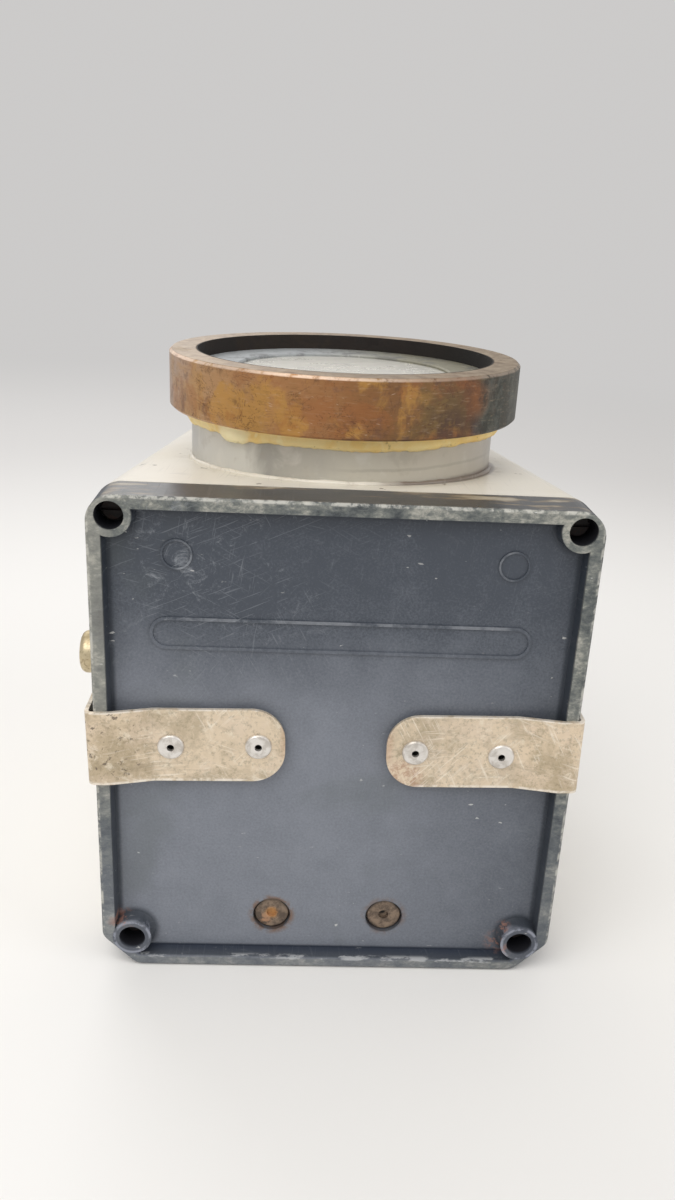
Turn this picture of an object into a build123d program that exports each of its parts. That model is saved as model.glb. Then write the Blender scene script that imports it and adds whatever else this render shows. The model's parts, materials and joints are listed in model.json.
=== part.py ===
"""Marine chronometer in a sealed sheet-metal case, with a moulded front cover.

Frame: origin at the foot of the dial axis on the base plane, +Z up, +X right, the front cover
faces -Y. Millimetres throughout.
"""

import os
from math import asin, atan2, cos, degrees, hypot, pi, radians, sin, tan

from build123d import *

os.makedirs("parts", exist_ok=True)

# ---------------------------------------------------------------- driving dimensions
cover_width = 150.0
cover_height = 163.0
cover_depth = 16.0
cover_front = -78.0
cover_back = cover_front + cover_depth
case_back = 78.0
wall = 2.5
side_draft = 0.0765
top_draft = 0.073
corner_radius = 8.0
foot_chamfer = 11.0
gasket_thickness = 0.8

field_depth = 5.0
rim_side = 4.2
rim_top = 3.9
rim_foot = 3.5
rim_corner = 3.0
field_taper = 8.0
cover_skin = 3.4
top_hole = (68.2, 157.0)
foot_hole = (65.2, 11.0)
hole_radius = 4.3
boss_radius = 6.4
screw_seat = 10.0

strap_width = 25.0
strap_thickness = 1.2
strap_gap = 1.0
strap_step = 3.0
strap_ramp = 13.5
rivet_places = [(-51.7, 82.6), (-24.5, 83.4), (24.7, 82.7), (52.0, 82.1)]
rivet_head = 4.2
plug_offset = 19.0
plug_height = 17.6
plug_radius = 6.2

bezel_radius = 59.8
bezel_bottom = 177.1
bezel_top = 195.6
opening_radius = 50.4
neck_radius = 52.4
neck_bore = 50.0
neck_top = 186.0
ring_bottom = 189.3
ring_top = 190.4
view_radius = 36.3

upper_plate_bottom = 170.0
lower_plate_top = 150.0
plate_thickness = 3.0
upper_plate_top = upper_plate_bottom + plate_thickness
lower_plate_bottom = lower_plate_top - plate_thickness
upper_plate_radius = 49.6
lower_plate_radius = 44.5
ledge_radius = 45.0
dial_bottom = 180.2
dial_top = 181.2

pivot_radius = 0.6
running_clearance = 0.03
arbor_radius = 1.25
tooth_fill = 0.42
addendum = 0.75
dedendum = 1.15

knob_y = -49.0
knob_z = 102.0
knob_radius = 7.0

# tooth counts and modules of the going train
great_teeth, centre_leaves, great_module = 96, 12, 0.4
centre_teeth, third_leaves, centre_module = 90, 12, 0.4
third_teeth, fourth_leaves, third_module = 80, 10, 0.45
fourth_teeth, escape_leaves, fourth_module = 80, 10, 0.4
cannon_leaves, minute_teeth, cannon_module = 12, 36, 0.4
minute_leaves, hour_teeth = 10, 40
hour_module = cannon_module * (cannon_leaves + minute_teeth) / (minute_leaves + hour_teeth)
escape_teeth = 15
escape_radius = 7.5
roller_radius = 3.5


def polar(origin, distance, angle):
    """Point at a distance and an angle in degrees from an origin."""
    return (origin[0] + distance * cos(radians(angle)), origin[1] + distance * sin(radians(angle)))


def bearing(start, end):
    """Angle in degrees of the line from start to end."""
    return degrees(atan2(end[1] - start[1], end[0] - start[0]))


# arbor positions, seen from above: seconds at six o'clock, towards the cover
centre_at = (0.0, 0.0)
fourth_at = (0.0, -22.0)
centre_third = centre_module * (centre_teeth + third_leaves) / 2
third_fourth = third_module * (third_teeth + fourth_leaves) / 2
third_y = (centre_third**2 - third_fourth**2 + fourth_at[1] ** 2) / (2 * fourth_at[1])
third_at = ((centre_third**2 - third_y**2) ** 0.5, third_y)
great_at = polar(centre_at, great_module * (great_teeth + centre_leaves) / 2, 160)
escape_at = polar(fourth_at, fourth_module * (fourth_teeth + escape_leaves) / 2, 200)
balance_at = polar(escape_at, escape_radius + roller_radius + 0.3, 100)
minute_at = polar(centre_at, cannon_module * (cannon_leaves + minute_teeth) / 2, 45)
barrel_at = (8.0, 29.0)
cock_foot_at = (-37.0, -13.0)
pillar_places = [polar(centre_at, 40.5, angle) for angle in (20, 120, 218, 288)]
plate_screw_places = [polar(centre_at, 47.3, angle) for angle in (60, 180, 300)]
dial_foot_places = [polar(centre_at, 42.0, angle) for angle in (0, 90, 240)]
corner_places = [(side * x, z) for x, z in (top_hole, foot_hole) for side in (-1, 1)]


def gear_points(teeth, module, turn):
    """Closed outline of a spur gear with one tooth centred on the angle turn, in degrees."""
    pitch_radius = module * teeth / 2
    root = pitch_radius - dedendum * module
    tip = pitch_radius + addendum * module
    pitch_angle = 2 * pi / teeth
    outline = []
    for tooth in range(teeth):
        middle = radians(turn) + tooth * pitch_angle
        for radius, share in ((root, -0.62), (pitch_radius, -0.5), (tip, -0.24),
                              (tip, 0.24), (pitch_radius, 0.5), (root, 0.62)):
            angle = middle + share * tooth_fill * pitch_angle
            outline.append((radius * cos(angle), radius * sin(angle)))
    return outline


def gear_face(teeth, module, turn):
    """Filled outline of a spur gear."""
    with BuildSketch() as face:
        with BuildLine():
            Polyline(*gear_points(teeth, module, turn), close=True)
        make_face()
    return face.sketch


def crossed_wheel(teeth, module, turn, bore, spokes=5):
    """Train wheel outline: toothed rim, spokes and a bored hub."""
    inner = module * teeth / 2 - dedendum * module - max(1.0, 2.2 * module)
    with BuildSketch() as wheel:
        add(gear_face(teeth, module, turn))
        Circle(inner, mode=Mode.SUBTRACT)
        Circle(bore + 1.6)
        with PolarLocations(0, spokes):
            Rectangle(inner + 0.4, 1.3, align=(Align.MIN, Align.CENTER))
        Circle(bore, mode=Mode.SUBTRACT)
    return wheel.sketch


def mesh_pinion_turn(wheel_at, pinion_at, leaf_count):
    """Turn that puts a gap of the pinion on the line to a wheel whose tooth points at it."""
    return bearing(wheel_at, pinion_at) + 180 + 180 / leaf_count


def rounded_body(half_width, height, inset=0.0):
    """Front outline of cover and case: round shoulders, chamfered feet, standing on its base."""
    side = half_width - inset
    top = height - inset
    cut = foot_chamfer - 0.4 * inset
    with BuildSketch() as body:
        with BuildLine():
            Polyline((-side + cut, inset), (side - cut, inset), (side, cut + inset), (side, top),
                     (-side, top), (-side, cut + inset), close=True)
        make_face()
        fillet(body.vertices().sort_by(Axis.Y)[-2:], corner_radius - 0.7 * inset)
        fillet(body.vertices().sort_by(Axis.Y)[:4], 5)
    return body.sketch


def field_outline():
    """Outline of the sunk field of the cover, with its feet cut like the cover's own."""
    with BuildSketch() as field:
        with BuildLine():
            Polyline((-field_slant - rim_foot, rim_foot), (field_slant + rim_foot, rim_foot),
                     (field_half, field_half - field_slant), (field_half, field_top),
                     (-field_half, field_top), (-field_half, field_half - field_slant), close=True)
        make_face()
        fillet(field.vertices(), 3)
    return field.sketch


def lengthwise(part):
    """Edges of a block that run from front to back."""
    return part.edges().filter_by(lambda edge: abs(edge.tangent_at(0.5).Y) > 0.9)


def tapered_block(front, back, inset=0.0):
    """Case body between two depths, drawn in on both sides and falling at the top."""
    half_front = cover_width / 2 - inset - side_draft * (front - cover_back)
    half_back = cover_width / 2 - inset - side_draft * (back - cover_back)
    with BuildPart() as block:
        with BuildSketch(Plane.XY.offset(inset)):
            with BuildLine():
                Polyline((-half_front, front), (half_front, front), (half_back, back),
                         (-half_back, back), close=True)
            make_face()
        extrude(amount=cover_height + 10)
        lid = Plane(origin=(0, cover_back, cover_height - inset), x_dir=(1, 0, 0),
                    z_dir=(0, top_draft, 1))
        split(bisect_by=lid, keep=Keep.BOTTOM)
        fillet(lengthwise(block.part).group_by(Axis.Z)[-1], corner_radius - 0.7 * inset)
        chamfer(lengthwise(block.part).group_by(Axis.Z)[0], foot_chamfer - 0.4 * inset)
        fillet(lengthwise(block.part).filter_by_position(Axis.Z, 0, 30), 5)
    return block.part


def arbor(at, low, high, radius=arbor_radius):
    """Turned steel arbor with a pivot in each plate."""
    bottom = lower_plate_bottom + 0.4
    top = upper_plate_top - 0.4
    with BuildPart() as turned:
        with BuildSketch(Plane.XY.offset(bottom)):
            with Locations(at):
                Circle(pivot_radius)
        extrude(amount=top - bottom)
        with BuildSketch(Plane.XY.offset(low)):
            with Locations(at):
                Circle(radius)
        extrude(amount=high - low)
    return turned.part


def pinion(at, teeth, module, turn, bottom, height):
    """Pinion leaves standing at a place."""
    with BuildPart() as cut:
        with BuildSketch(Plane.XY.offset(bottom)):
            with Locations(at):
                add(gear_face(teeth, module, turn))
        extrude(amount=height)
    return cut.part


# ---------------------------------------------------------------- case and cover
front_of_case = cover_back + gasket_thickness
inner_back = case_back - wall

with BuildPart() as case_envelope:
    add(tapered_block(front_of_case, case_back))
    back_face = case_envelope.faces().sort_by(Axis.Y)[-1]
    fillet(back_face.edges(), 3.5)

with BuildPart() as case_cavity:
    add(tapered_block(front_of_case - 1, inner_back, wall))
    back_face = case_cavity.faces().sort_by(Axis.Y)[-1]
    chamfer(back_face.edges(), 1.5)

boss_length = 15.0
with BuildPart() as case_body:
    add(case_envelope.part)
    add(case_cavity.part, mode=Mode.SUBTRACT)
    with BuildSketch(Plane.XZ.offset(-front_of_case)):
        with Locations(*corner_places):
            Circle(5.2)
    extrude(amount=-boss_length)
    add(case_envelope.part, mode=Mode.INTERSECT)
    with BuildSketch(Plane.XZ.offset(-front_of_case)):
        with Locations(*corner_places):
            Circle(1.95)
    extrude(amount=-(boss_length - 2), mode=Mode.SUBTRACT)
    with BuildSketch(Plane.XY.offset(lower_plate_top - 5)):
        Circle(neck_radius)
    extrude(amount=30, mode=Mode.SUBTRACT)
    with BuildSketch(Plane.YZ.offset(-cover_width / 2 - 5)):
        with Locations((knob_y, knob_z)):
            Circle(4.0)
    extrude(amount=20, mode=Mode.SUBTRACT)

with BuildPart() as cover_gasket:
    with BuildSketch(Plane.XZ.offset(-cover_back)):
        add(rounded_body(cover_width / 2, cover_height, 0.35))
        add(rounded_body(cover_width / 2, cover_height, wall), mode=Mode.SUBTRACT)
    extrude(amount=-gasket_thickness)

field_half = cover_width / 2 - rim_side
field_top = cover_height - rim_top
field_slant = cover_width / 2 - foot_chamfer - rim_corner * 2**0.5
field_face = cover_front + field_depth
seat_face = cover_front + strap_step
with BuildPart() as front_cover:
    with BuildSketch(Plane.XZ.offset(-cover_front)):
        add(rounded_body(cover_width / 2, cover_height))
    extrude(amount=-cover_depth)
    rim_edges = front_cover.faces().sort_by(Axis.Y)[0].edges()
    chamfer(rim_edges, 0.7)
    with BuildSketch(Plane.XZ.offset(-cover_front)):
        add(field_outline())
        with Locations(*corner_places):
            Circle(boss_radius, mode=Mode.SUBTRACT)
    extrude(amount=-field_depth, taper=field_taper, mode=Mode.SUBTRACT)
    with BuildSketch(Plane.XZ.offset(-field_face)):
        with Locations((0, 119.6)):
            SlotOverall(116.0, 10.4)
            SlotOverall(114.0, 8.4, mode=Mode.SUBTRACT)
        with Locations((-49.7, 144.6), (50.2, 144.3)):
            Circle(4.7)
            Circle(4.1, mode=Mode.SUBTRACT)
    extrude(amount=0.5)
    with BuildSketch(Plane.XZ.offset(-field_face)):
        with Locations(*rivet_places):
            Circle(7)
    extrude(amount=field_depth - strap_step)
    with BuildSketch(Plane.XZ.offset(-cover_back)):
        add(rounded_body(cover_width / 2, cover_height, 3.2))
        with Locations(*corner_places):
            Circle(boss_radius, mode=Mode.SUBTRACT)
        with Locations((-plug_offset, plug_height), (plug_offset, plug_height)):
            Circle(plug_radius + 2, mode=Mode.SUBTRACT)
    extrude(amount=cover_depth - field_depth - cover_skin, mode=Mode.SUBTRACT)
    with BuildSketch(Plane.XZ.offset(-cover_front)):
        with Locations(*corner_places):
            Circle(hole_radius)
    extrude(amount=-screw_seat, mode=Mode.SUBTRACT)
    with BuildSketch(Plane.XZ.offset(-cover_front)):
        with Locations(*corner_places):
            Circle(2.2)
    extrude(amount=-cover_depth, mode=Mode.SUBTRACT)
    with BuildSketch(Plane.XZ.offset(-field_face)):
        with Locations((-plug_offset, plug_height), (plug_offset, plug_height)):
            Circle(plug_radius)
    extrude(amount=-2.6, mode=Mode.SUBTRACT)
    with BuildSketch(Plane.XZ.offset(-field_face)):
        with Locations((-plug_offset, plug_height), (plug_offset, plug_height)):
            Circle(3.0)
    extrude(amount=-9.5, mode=Mode.SUBTRACT)
    with BuildSketch(Plane.XZ.offset(-seat_face)):
        with Locations(*rivet_places):
            Circle(2.0)
    extrude(amount=-12, mode=Mode.SUBTRACT)

with BuildPart() as cover_screws:
    with BuildSketch(Plane.XZ.offset(-(cover_front + screw_seat))):
        with Locations(*corner_places):
            Circle(3.5)
    extrude(amount=2.6)
    chamfer(cover_screws.faces().group_by(Axis.Y)[0].edges(), 0.4)
    with BuildSketch(Plane.XZ.offset(-(cover_front + screw_seat - 2.6))):
        with Locations(*corner_places):
            Rectangle(8, 1.0)
    extrude(amount=-1.2, mode=Mode.SUBTRACT)
    with BuildSketch(Plane.XZ.offset(-(cover_front + screw_seat))):
        with Locations(*corner_places):
            Circle(1.9)
    extrude(amount=-16)

with BuildPart() as cover_plugs:
    with BuildSketch(Plane.XZ.offset(-(field_face + 2.6))):
        with Locations((-plug_offset, plug_height), (plug_offset, plug_height)):
            Circle(5.8)
    extrude(amount=1.7)
    chamfer(cover_plugs.faces().group_by(Axis.Y)[0].edges(), 0.4)
    with BuildSketch(Plane.XZ.offset(-(field_face + 0.9))):
        with Locations((-plug_offset, plug_height), (plug_offset, plug_height)):
            Circle(1.7)
    extrude(amount=-1.2, mode=Mode.SUBTRACT)
    with BuildSketch(Plane.XZ.offset(-(field_face + 2.6))):
        with Locations((-plug_offset, plug_height), (plug_offset, plug_height)):
            Circle(2.95)
    extrude(amount=-6)

# ---------------------------------------------------------------- straps
rim_face = cover_front
strap_tip = 15.9
strap_rear = -24.0
strap_left_low, strap_left_lean = 69.9, 1.15
strap_right_low, strap_right_lean = 71.1, -1.0
strap_corner = 6.5
strap_nose = 10.5
strap_out = strap_gap + strap_thickness


def strap(side, low, lean):
    """Side strap: along the case side, round the rim, joggled down on to the field."""
    tilt = radians(lean)
    foot = Plane(origin=(side * cover_width / 2, 0, low),
                 x_dir=(side * cos(tilt), 0, -sin(tilt)), z_dir=(side * sin(tilt), 0, cos(tilt)))
    upright = Axis((0, 0, 0), foot.z_dir)
    depth = foot.y_dir.Y
    tip = strap_tip - cover_width / 2
    front = rim_face - strap_thickness
    ramp_top = -rim_side - 0.4
    ramp_foot = ramp_top - strap_ramp
    shift = strap_thickness * tan(atan2(strap_step, strap_ramp) / 2)
    path = [(strap_out, strap_rear), (strap_out, front), (ramp_top - shift, front),
            (ramp_foot - shift, seat_face - strap_thickness), (tip, seat_face - strap_thickness),
            (tip, seat_face), (ramp_foot, seat_face), (ramp_top, rim_face),
            (strap_gap, rim_face), (strap_gap, strap_rear)]
    with BuildPart() as bent:
        with BuildSketch(foot) as profile:
            with BuildLine():
                Polyline(*[(x, depth * y) for x, y in path], close=True)
            make_face()
        extrude(amount=strap_width)
        outer_bend = (side * (cover_width / 2 + strap_out), front, low + strap_width / 2)
        bends = bent.edges().filter_by(upright).sort_by_distance(outer_bend)
        fillet(bends[0], 2.4)
        inner_bend = (side * (cover_width / 2 + strap_gap), rim_face, low + strap_width / 2)
        bends = bent.edges().filter_by(upright).sort_by_distance(inner_bend)
        fillet(bends[0], 1.2)
        for reach, y, bend in ((ramp_top - shift, front, 10), (ramp_foot, seat_face, 10)):
            place = foot.from_local_coords((reach, depth * y, strap_width / 2))
            fillet(bent.edges().filter_by(upright).sort_by_distance(place)[0], bend)
        across = bent.edges().filter_by(Axis.Y).sort_by(Axis.X)
        tip_edges = across[-2:] if side < 0 else across[:2]
        fillet(tip_edges, strap_nose)
        rear_edges = bent.edges().filter_by(Axis((0, 0, 0), foot.x_dir)).group_by(Axis.Y)[-1]
        fillet(rear_edges, strap_corner)
        with BuildSketch(Plane.XZ.offset(-seat_face)):
            with Locations(*[place for place in rivet_places if place[0] * side > 0]):
                Circle(2.05)
        extrude(amount=strap_thickness + 1, mode=Mode.SUBTRACT)
    return bent.part


with BuildPart() as left_strap:
    add(strap(-1, strap_left_low, strap_left_lean))
with BuildPart() as right_strap:
    add(strap(1, strap_right_low, strap_right_lean))

strap_face = seat_face - strap_thickness
with BuildPart() as strap_rivets:
    with BuildSketch(Plane.XZ.offset(-strap_face)):
        with Locations(*rivet_places):
            Circle(rivet_head)
    extrude(amount=1.1)
    fillet(strap_rivets.faces().group_by(Axis.Y)[0].edges(), 0.9)
    with BuildSketch(Plane.XZ.offset(-strap_face)):
        with Locations(*rivet_places):
            Circle(1.95)
    extrude(amount=-(strap_thickness + field_depth - strap_step + cover_skin))
    with BuildSketch(Plane.XZ.offset(-(field_face + cover_skin))):
        with Locations(*rivet_places):
            Circle(3.2)
    extrude(amount=-1.6)
    with BuildSketch(Plane.XZ.offset(-(strap_face - 1.1))):
        with Locations(*rivet_places):
            Circle(1.15)
    extrude(amount=-4, mode=Mode.SUBTRACT)

# ---------------------------------------------------------------- neck, bezel and glass
neck_foot = lower_plate_top
with BuildPart() as neck_collar:
    with BuildSketch(Plane.XY.offset(neck_foot)):
        Circle(neck_radius)
        Circle(neck_bore, mode=Mode.SUBTRACT)
    extrude(amount=neck_top - neck_foot)
    with BuildSketch(Plane.XY.offset(upper_plate_bottom - 4)):
        Circle(neck_bore + 0.5)
        Circle(ledge_radius, mode=Mode.SUBTRACT)
    extrude(amount=4)
    with BuildSketch(Plane.XY.offset(upper_plate_bottom - 4)):
        with Locations(*plate_screw_places):
            Circle(0.95)
    extrude(amount=4, mode=Mode.SUBTRACT)

with BuildPart() as neck_seal:
    with BuildSketch(Plane.XZ):
        with BuildLine():
            Polyline((neck_radius, 173.2), (neck_radius + 1.5, 173.6), (neck_radius + 2.9, 175.6),
                     (neck_radius + 3.3, bezel_bottom), (neck_radius, bezel_bottom), close=True)
        make_face()
    revolve(axis=Axis.Z)

bezel_bore = neck_radius + 0.15
with BuildPart() as bezel:
    with BuildSketch(Plane.XY.offset(bezel_bottom)):
        Circle(bezel_radius)
        Circle(bezel_bore, mode=Mode.SUBTRACT)
    extrude(amount=ring_top - bezel_bottom)
    with BuildSketch(Plane.XY.offset(ring_top)):
        Circle(bezel_radius)
        Circle(opening_radius, mode=Mode.SUBTRACT)
    extrude(amount=bezel_top - ring_top)
    rims = bezel.edges().filter_by(GeomType.CIRCLE)
    chamfer(rims.group_by(Axis.Z)[-1].sort_by(SortBy.RADIUS)[-1], 0.9)
    chamfer(bezel.edges().filter_by(GeomType.CIRCLE).group_by(Axis.Z)[0].sort_by(SortBy.RADIUS)[-1], 0.7)

glass_radius = 51.6
with BuildPart() as glass_gasket:
    with BuildSketch(Plane.XY.offset(neck_top)):
        Circle(neck_radius - 0.3)
        Circle(47, mode=Mode.SUBTRACT)
    extrude(amount=0.8)

glass_bottom = neck_top + 0.8
glass_crown = 1.0
crown_top = ring_bottom + glass_crown
crown_curve = (view_radius**2 + glass_crown**2) / (2 * glass_crown)
crown_middle = crown_top - crown_curve + (crown_curve**2 - (view_radius / 2) ** 2) ** 0.5
with BuildPart() as crystal:
    with BuildSketch(Plane.XZ):
        with BuildLine():
            Line((0, glass_bottom), (glass_radius, glass_bottom))
            Line((glass_radius, glass_bottom), (glass_radius, ring_bottom))
            Line((glass_radius, ring_bottom), (view_radius, ring_bottom))
            ThreePointArc((view_radius, ring_bottom), (view_radius / 2, crown_middle), (0, crown_top))
            Line((0, crown_top), (0, glass_bottom))
        make_face()
    revolve(axis=Axis.Z)

with BuildPart() as glass_ring:
    with BuildSketch(Plane.XY.offset(ring_bottom)):
        Circle(neck_radius - 0.2)
        Circle(view_radius + 0.1, mode=Mode.SUBTRACT)
    extrude(amount=ring_top - ring_bottom)
    chamfer(glass_ring.edges().group_by(Axis.Z)[-1].sort_by(SortBy.RADIUS)[0], 0.5)

# ---------------------------------------------------------------- dial and hands
chapter_inner = 25.5
chapter_outer = 38.5
with BuildPart() as dial_plate:
    with BuildSketch(Plane.XY.offset(dial_bottom)):
        Circle(46)
        Circle(3.0, mode=Mode.SUBTRACT)
        with Locations(fourth_at):
            Circle(1.6, mode=Mode.SUBTRACT)
    extrude(amount=dial_top - dial_bottom)
    with BuildSketch(Plane.XY.offset(upper_plate_top)):
        with Locations(*dial_foot_places):
            Circle(1.5)
    extrude(amount=dial_bottom - upper_plate_top)

seconds_ring = 8.6
with BuildPart() as chapter_ring:
    with BuildSketch(Plane.XY.offset(dial_top)):
        Circle(chapter_outer)
        Circle(chapter_inner, mode=Mode.SUBTRACT)
        with Locations(fourth_at):
            Circle(seconds_ring + 0.6, mode=Mode.SUBTRACT)
    extrude(amount=0.5)
    chamfer(chapter_ring.faces().sort_by(Axis.Z)[-1].edges(), 0.15)

with BuildPart() as seconds_dial:
    with BuildSketch(Plane.XY.offset(dial_top)):
        with Locations(fourth_at):
            Circle(seconds_ring)
            Circle(1.6, mode=Mode.SUBTRACT)
    extrude(amount=0.3)


def hand(at, clock_angle, length, tail, width, eye, bottom, bore, hub):
    """Spade hand pointing at a clock angle, with a round hub on its pipe."""
    with BuildPart() as blade:
        along = Vector(1, 0, 0).rotate(Axis.Z, -clock_angle)
        with BuildSketch(Plane((at[0], at[1], bottom), x_dir=along)):
            with BuildLine():
                Polyline((-0.55 * width, -tail), (0.55 * width, -tail), (0.3 * width, length * 0.72),
                         (0, length), (-0.3 * width, length * 0.72), close=True)
            make_face()
            if eye:
                with Locations((0, length * 0.68)):
                    Circle(eye)
                    Circle(eye * 0.45, mode=Mode.SUBTRACT)
            Circle(hub)
            Circle(bore, mode=Mode.SUBTRACT)
        extrude(amount=0.4)
    return blade.part


minutes_shown = 9.6
hours_shown = 10 + minutes_shown / 60
seconds_shown = 36.0
seconds_level = dial_top + 0.6
hour_level = dial_top + 1.3
minute_level = dial_top + 2.4
hour_pipe_radius = 2.4
cannon_radius = 1.6
with BuildPart() as seconds_hand:
    add(hand(fourth_at, 6 * seconds_shown, 7.4, 3.2, 0.7, 0, seconds_level, 0.6, 1.2))
with BuildPart() as hour_hand:
    add(hand(centre_at, 30 * hours_shown, 22.0, 4.0, 1.5, 2.2, hour_level, hour_pipe_radius, 3.3))
with BuildPart() as minute_hand:
    add(hand(centre_at, 6 * minutes_shown, 33.5, 6.0, 1.4, 1.9, minute_level, cannon_radius, 2.6))

# ---------------------------------------------------------------- movement frame
pivot_hole = pivot_radius + running_clearance
centre_pivot = 1.1
great_pivot = 1.0
train_places = [third_at, fourth_at, escape_at]
with BuildPart() as upper_plate:
    with BuildSketch(Plane.XY.offset(upper_plate_bottom)):
        Circle(upper_plate_radius)
        Circle(centre_pivot + running_clearance, mode=Mode.SUBTRACT)
        with Locations(*train_places, balance_at):
            Circle(pivot_hole, mode=Mode.SUBTRACT)
        with Locations(great_at, barrel_at):
            Circle(great_pivot + running_clearance, mode=Mode.SUBTRACT)
        with Locations(*plate_screw_places):
            Circle(1.1, mode=Mode.SUBTRACT)
    extrude(amount=plate_thickness)

with BuildPart() as lower_plate:
    with BuildSketch(Plane.XY.offset(lower_plate_bottom)):
        Circle(lower_plate_radius)
        Circle(centre_pivot + running_clearance, mode=Mode.SUBTRACT)
        with Locations(*train_places):
            Circle(pivot_hole, mode=Mode.SUBTRACT)
        with Locations(great_at, barrel_at):
            Circle(great_pivot + running_clearance, mode=Mode.SUBTRACT)
        with Locations(balance_at):
            Circle(3.0, mode=Mode.SUBTRACT)
        with Locations(*pillar_places, cock_foot_at):
            Circle(1.3, mode=Mode.SUBTRACT)
    extrude(amount=plate_thickness)

frame_gap = upper_plate_bottom - lower_plate_top
with BuildPart() as pillars:
    with BuildSketch(Plane.XY.offset(lower_plate_top)):
        with Locations(*pillar_places):
            Circle(2.8)
    extrude(amount=frame_gap)
    with BuildSketch(Plane.XY.offset(lower_plate_top + 3)):
        with Locations(*pillar_places):
            Circle(3.2)
            Circle(2.2, mode=Mode.SUBTRACT)
    extrude(amount=frame_gap - 6, mode=Mode.SUBTRACT)
    with BuildSketch(Plane.XY.offset(lower_plate_top)):
        with Locations(*pillar_places):
            Circle(1.3)
    extrude(amount=6, mode=Mode.SUBTRACT)

with BuildPart() as pillar_screws:
    with BuildSketch(Plane.XY.offset(lower_plate_bottom)):
        with Locations(*pillar_places):
            Circle(2.4)
    extrude(amount=-1.5)
    with BuildSketch(Plane.XY.offset(lower_plate_bottom - 1.5)):
        with Locations(*pillar_places):
            Rectangle(6, 0.6)
    extrude(amount=0.7, mode=Mode.SUBTRACT)
    with BuildSketch(Plane.XY.offset(lower_plate_bottom)):
        with Locations(*pillar_places):
            Circle(1.25)
    extrude(amount=8)

with BuildPart() as plate_screws:
    with BuildSketch(Plane.XY.offset(upper_plate_top)):
        with Locations(*plate_screw_places):
            Circle(1.9)
    extrude(amount=1.3)
    with BuildSketch(Plane.XY.offset(upper_plate_top + 1.3)):
        with Locations(*plate_screw_places):
            Rectangle(5, 0.5)
    extrude(amount=-0.6, mode=Mode.SUBTRACT)
    with BuildSketch(Plane.XY.offset(upper_plate_top)):
        with Locations(*plate_screw_places):
            Circle(0.9)
    extrude(amount=-6.5)

# ---------------------------------------------------------------- power: barrel, fusee and chain
barrel_radius = 13.0
barrel_bottom = 153.5
barrel_top = 166.0
barrel_wall = 0.8
with BuildPart() as barrel:
    with BuildSketch(Plane.XY.offset(barrel_bottom)):
        with Locations(barrel_at):
            Circle(barrel_radius)
    extrude(amount=barrel_top - barrel_bottom)
    with BuildSketch(Plane.XY.offset(barrel_bottom + barrel_wall)):
        with Locations(barrel_at):
            Circle(barrel_radius - barrel_wall)
    extrude(amount=barrel_top - barrel_bottom - 2 * barrel_wall, mode=Mode.SUBTRACT)
    with BuildSketch(Plane.XY.offset(barrel_bottom)):
        with Locations(barrel_at):
            Circle(2.5 + running_clearance)
    extrude(amount=barrel_top - barrel_bottom, mode=Mode.SUBTRACT)

with BuildPart() as barrel_arbor:
    with BuildSketch(Plane.XY.offset(lower_plate_bottom - 3.0)):
        with Locations(barrel_at):
            Circle(great_pivot)
    extrude(amount=upper_plate_top - lower_plate_bottom + 2.6)
    with BuildSketch(Plane.XY.offset(lower_plate_top + 0.3)):
        with Locations(barrel_at):
            Circle(2.5)
    extrude(amount=frame_gap - 0.6)
    with BuildSketch(Plane.XY.offset(lower_plate_bottom - 2.9)):
        with Locations(barrel_at):
            Circle(4.2)
            RegularPolygon(1.05, 4, mode=Mode.SUBTRACT)
    extrude(amount=1.2)


def spiral_band(at, start, end, turns, thickness, steps=36):
    """Outline of a coiled strip between two radii."""
    count = int(turns * steps)
    inner = []
    outer = []
    for step in range(count + 1):
        angle = 360.0 * step / steps
        radius = start + (end - start) * step / count
        inner.append(polar(at, radius, angle))
        outer.append(polar(at, radius + thickness, angle))
    return inner + outer[::-1]


with BuildPart() as mainspring:
    with BuildSketch(Plane.XY.offset(barrel_bottom + barrel_wall + 0.4)):
        with BuildLine():
            Polyline(*spiral_band(barrel_at, 2.9, 11.3, 7, 0.45), close=True)
        make_face()
    extrude(amount=barrel_top - barrel_bottom - 2 * barrel_wall - 0.8)

great_bottom = 166.6
great_thickness = 1.6
fusee_bottom = 153.5
fusee_top = 166.4
fusee_small = 6.6
fusee_large = 11.4
fusee_turns = 7
groove_pitch = (fusee_top - 0.6 - fusee_bottom - 0.8) / fusee_turns
with BuildPart() as fusee:
    with BuildSketch(Plane(origin=(*great_at, 0), x_dir=(1, 0, 0), z_dir=(0, -1, 0))):
        with BuildLine():
            profile = [(0.0, fusee_bottom), (fusee_small + 1.2, fusee_bottom),
                       (fusee_small + 1.2, fusee_bottom + 0.8)]
            for turn in range(fusee_turns):
                share = (turn + 0.5) / fusee_turns
                radius = fusee_small + (fusee_large - fusee_small) * share**1.4
                low = fusee_bottom + 0.8 + turn * groove_pitch
                profile += [(radius, low + 0.15), (radius, low + groove_pitch - 0.35),
                            (radius + 0.5, low + groove_pitch - 0.2),
                            (radius + 0.5, low + groove_pitch)]
            profile += [(fusee_large + 0.6, fusee_top), (0.0, fusee_top)]
            Polyline(*profile, close=True)
        make_face()
    revolve(axis=Axis((*great_at, 0), (0, 0, 1)))
    with BuildSketch(Plane.XY.offset(fusee_bottom)):
        with Locations(great_at):
            Circle(1.6)
    extrude(amount=fusee_top - fusee_bottom, mode=Mode.SUBTRACT)

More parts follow.
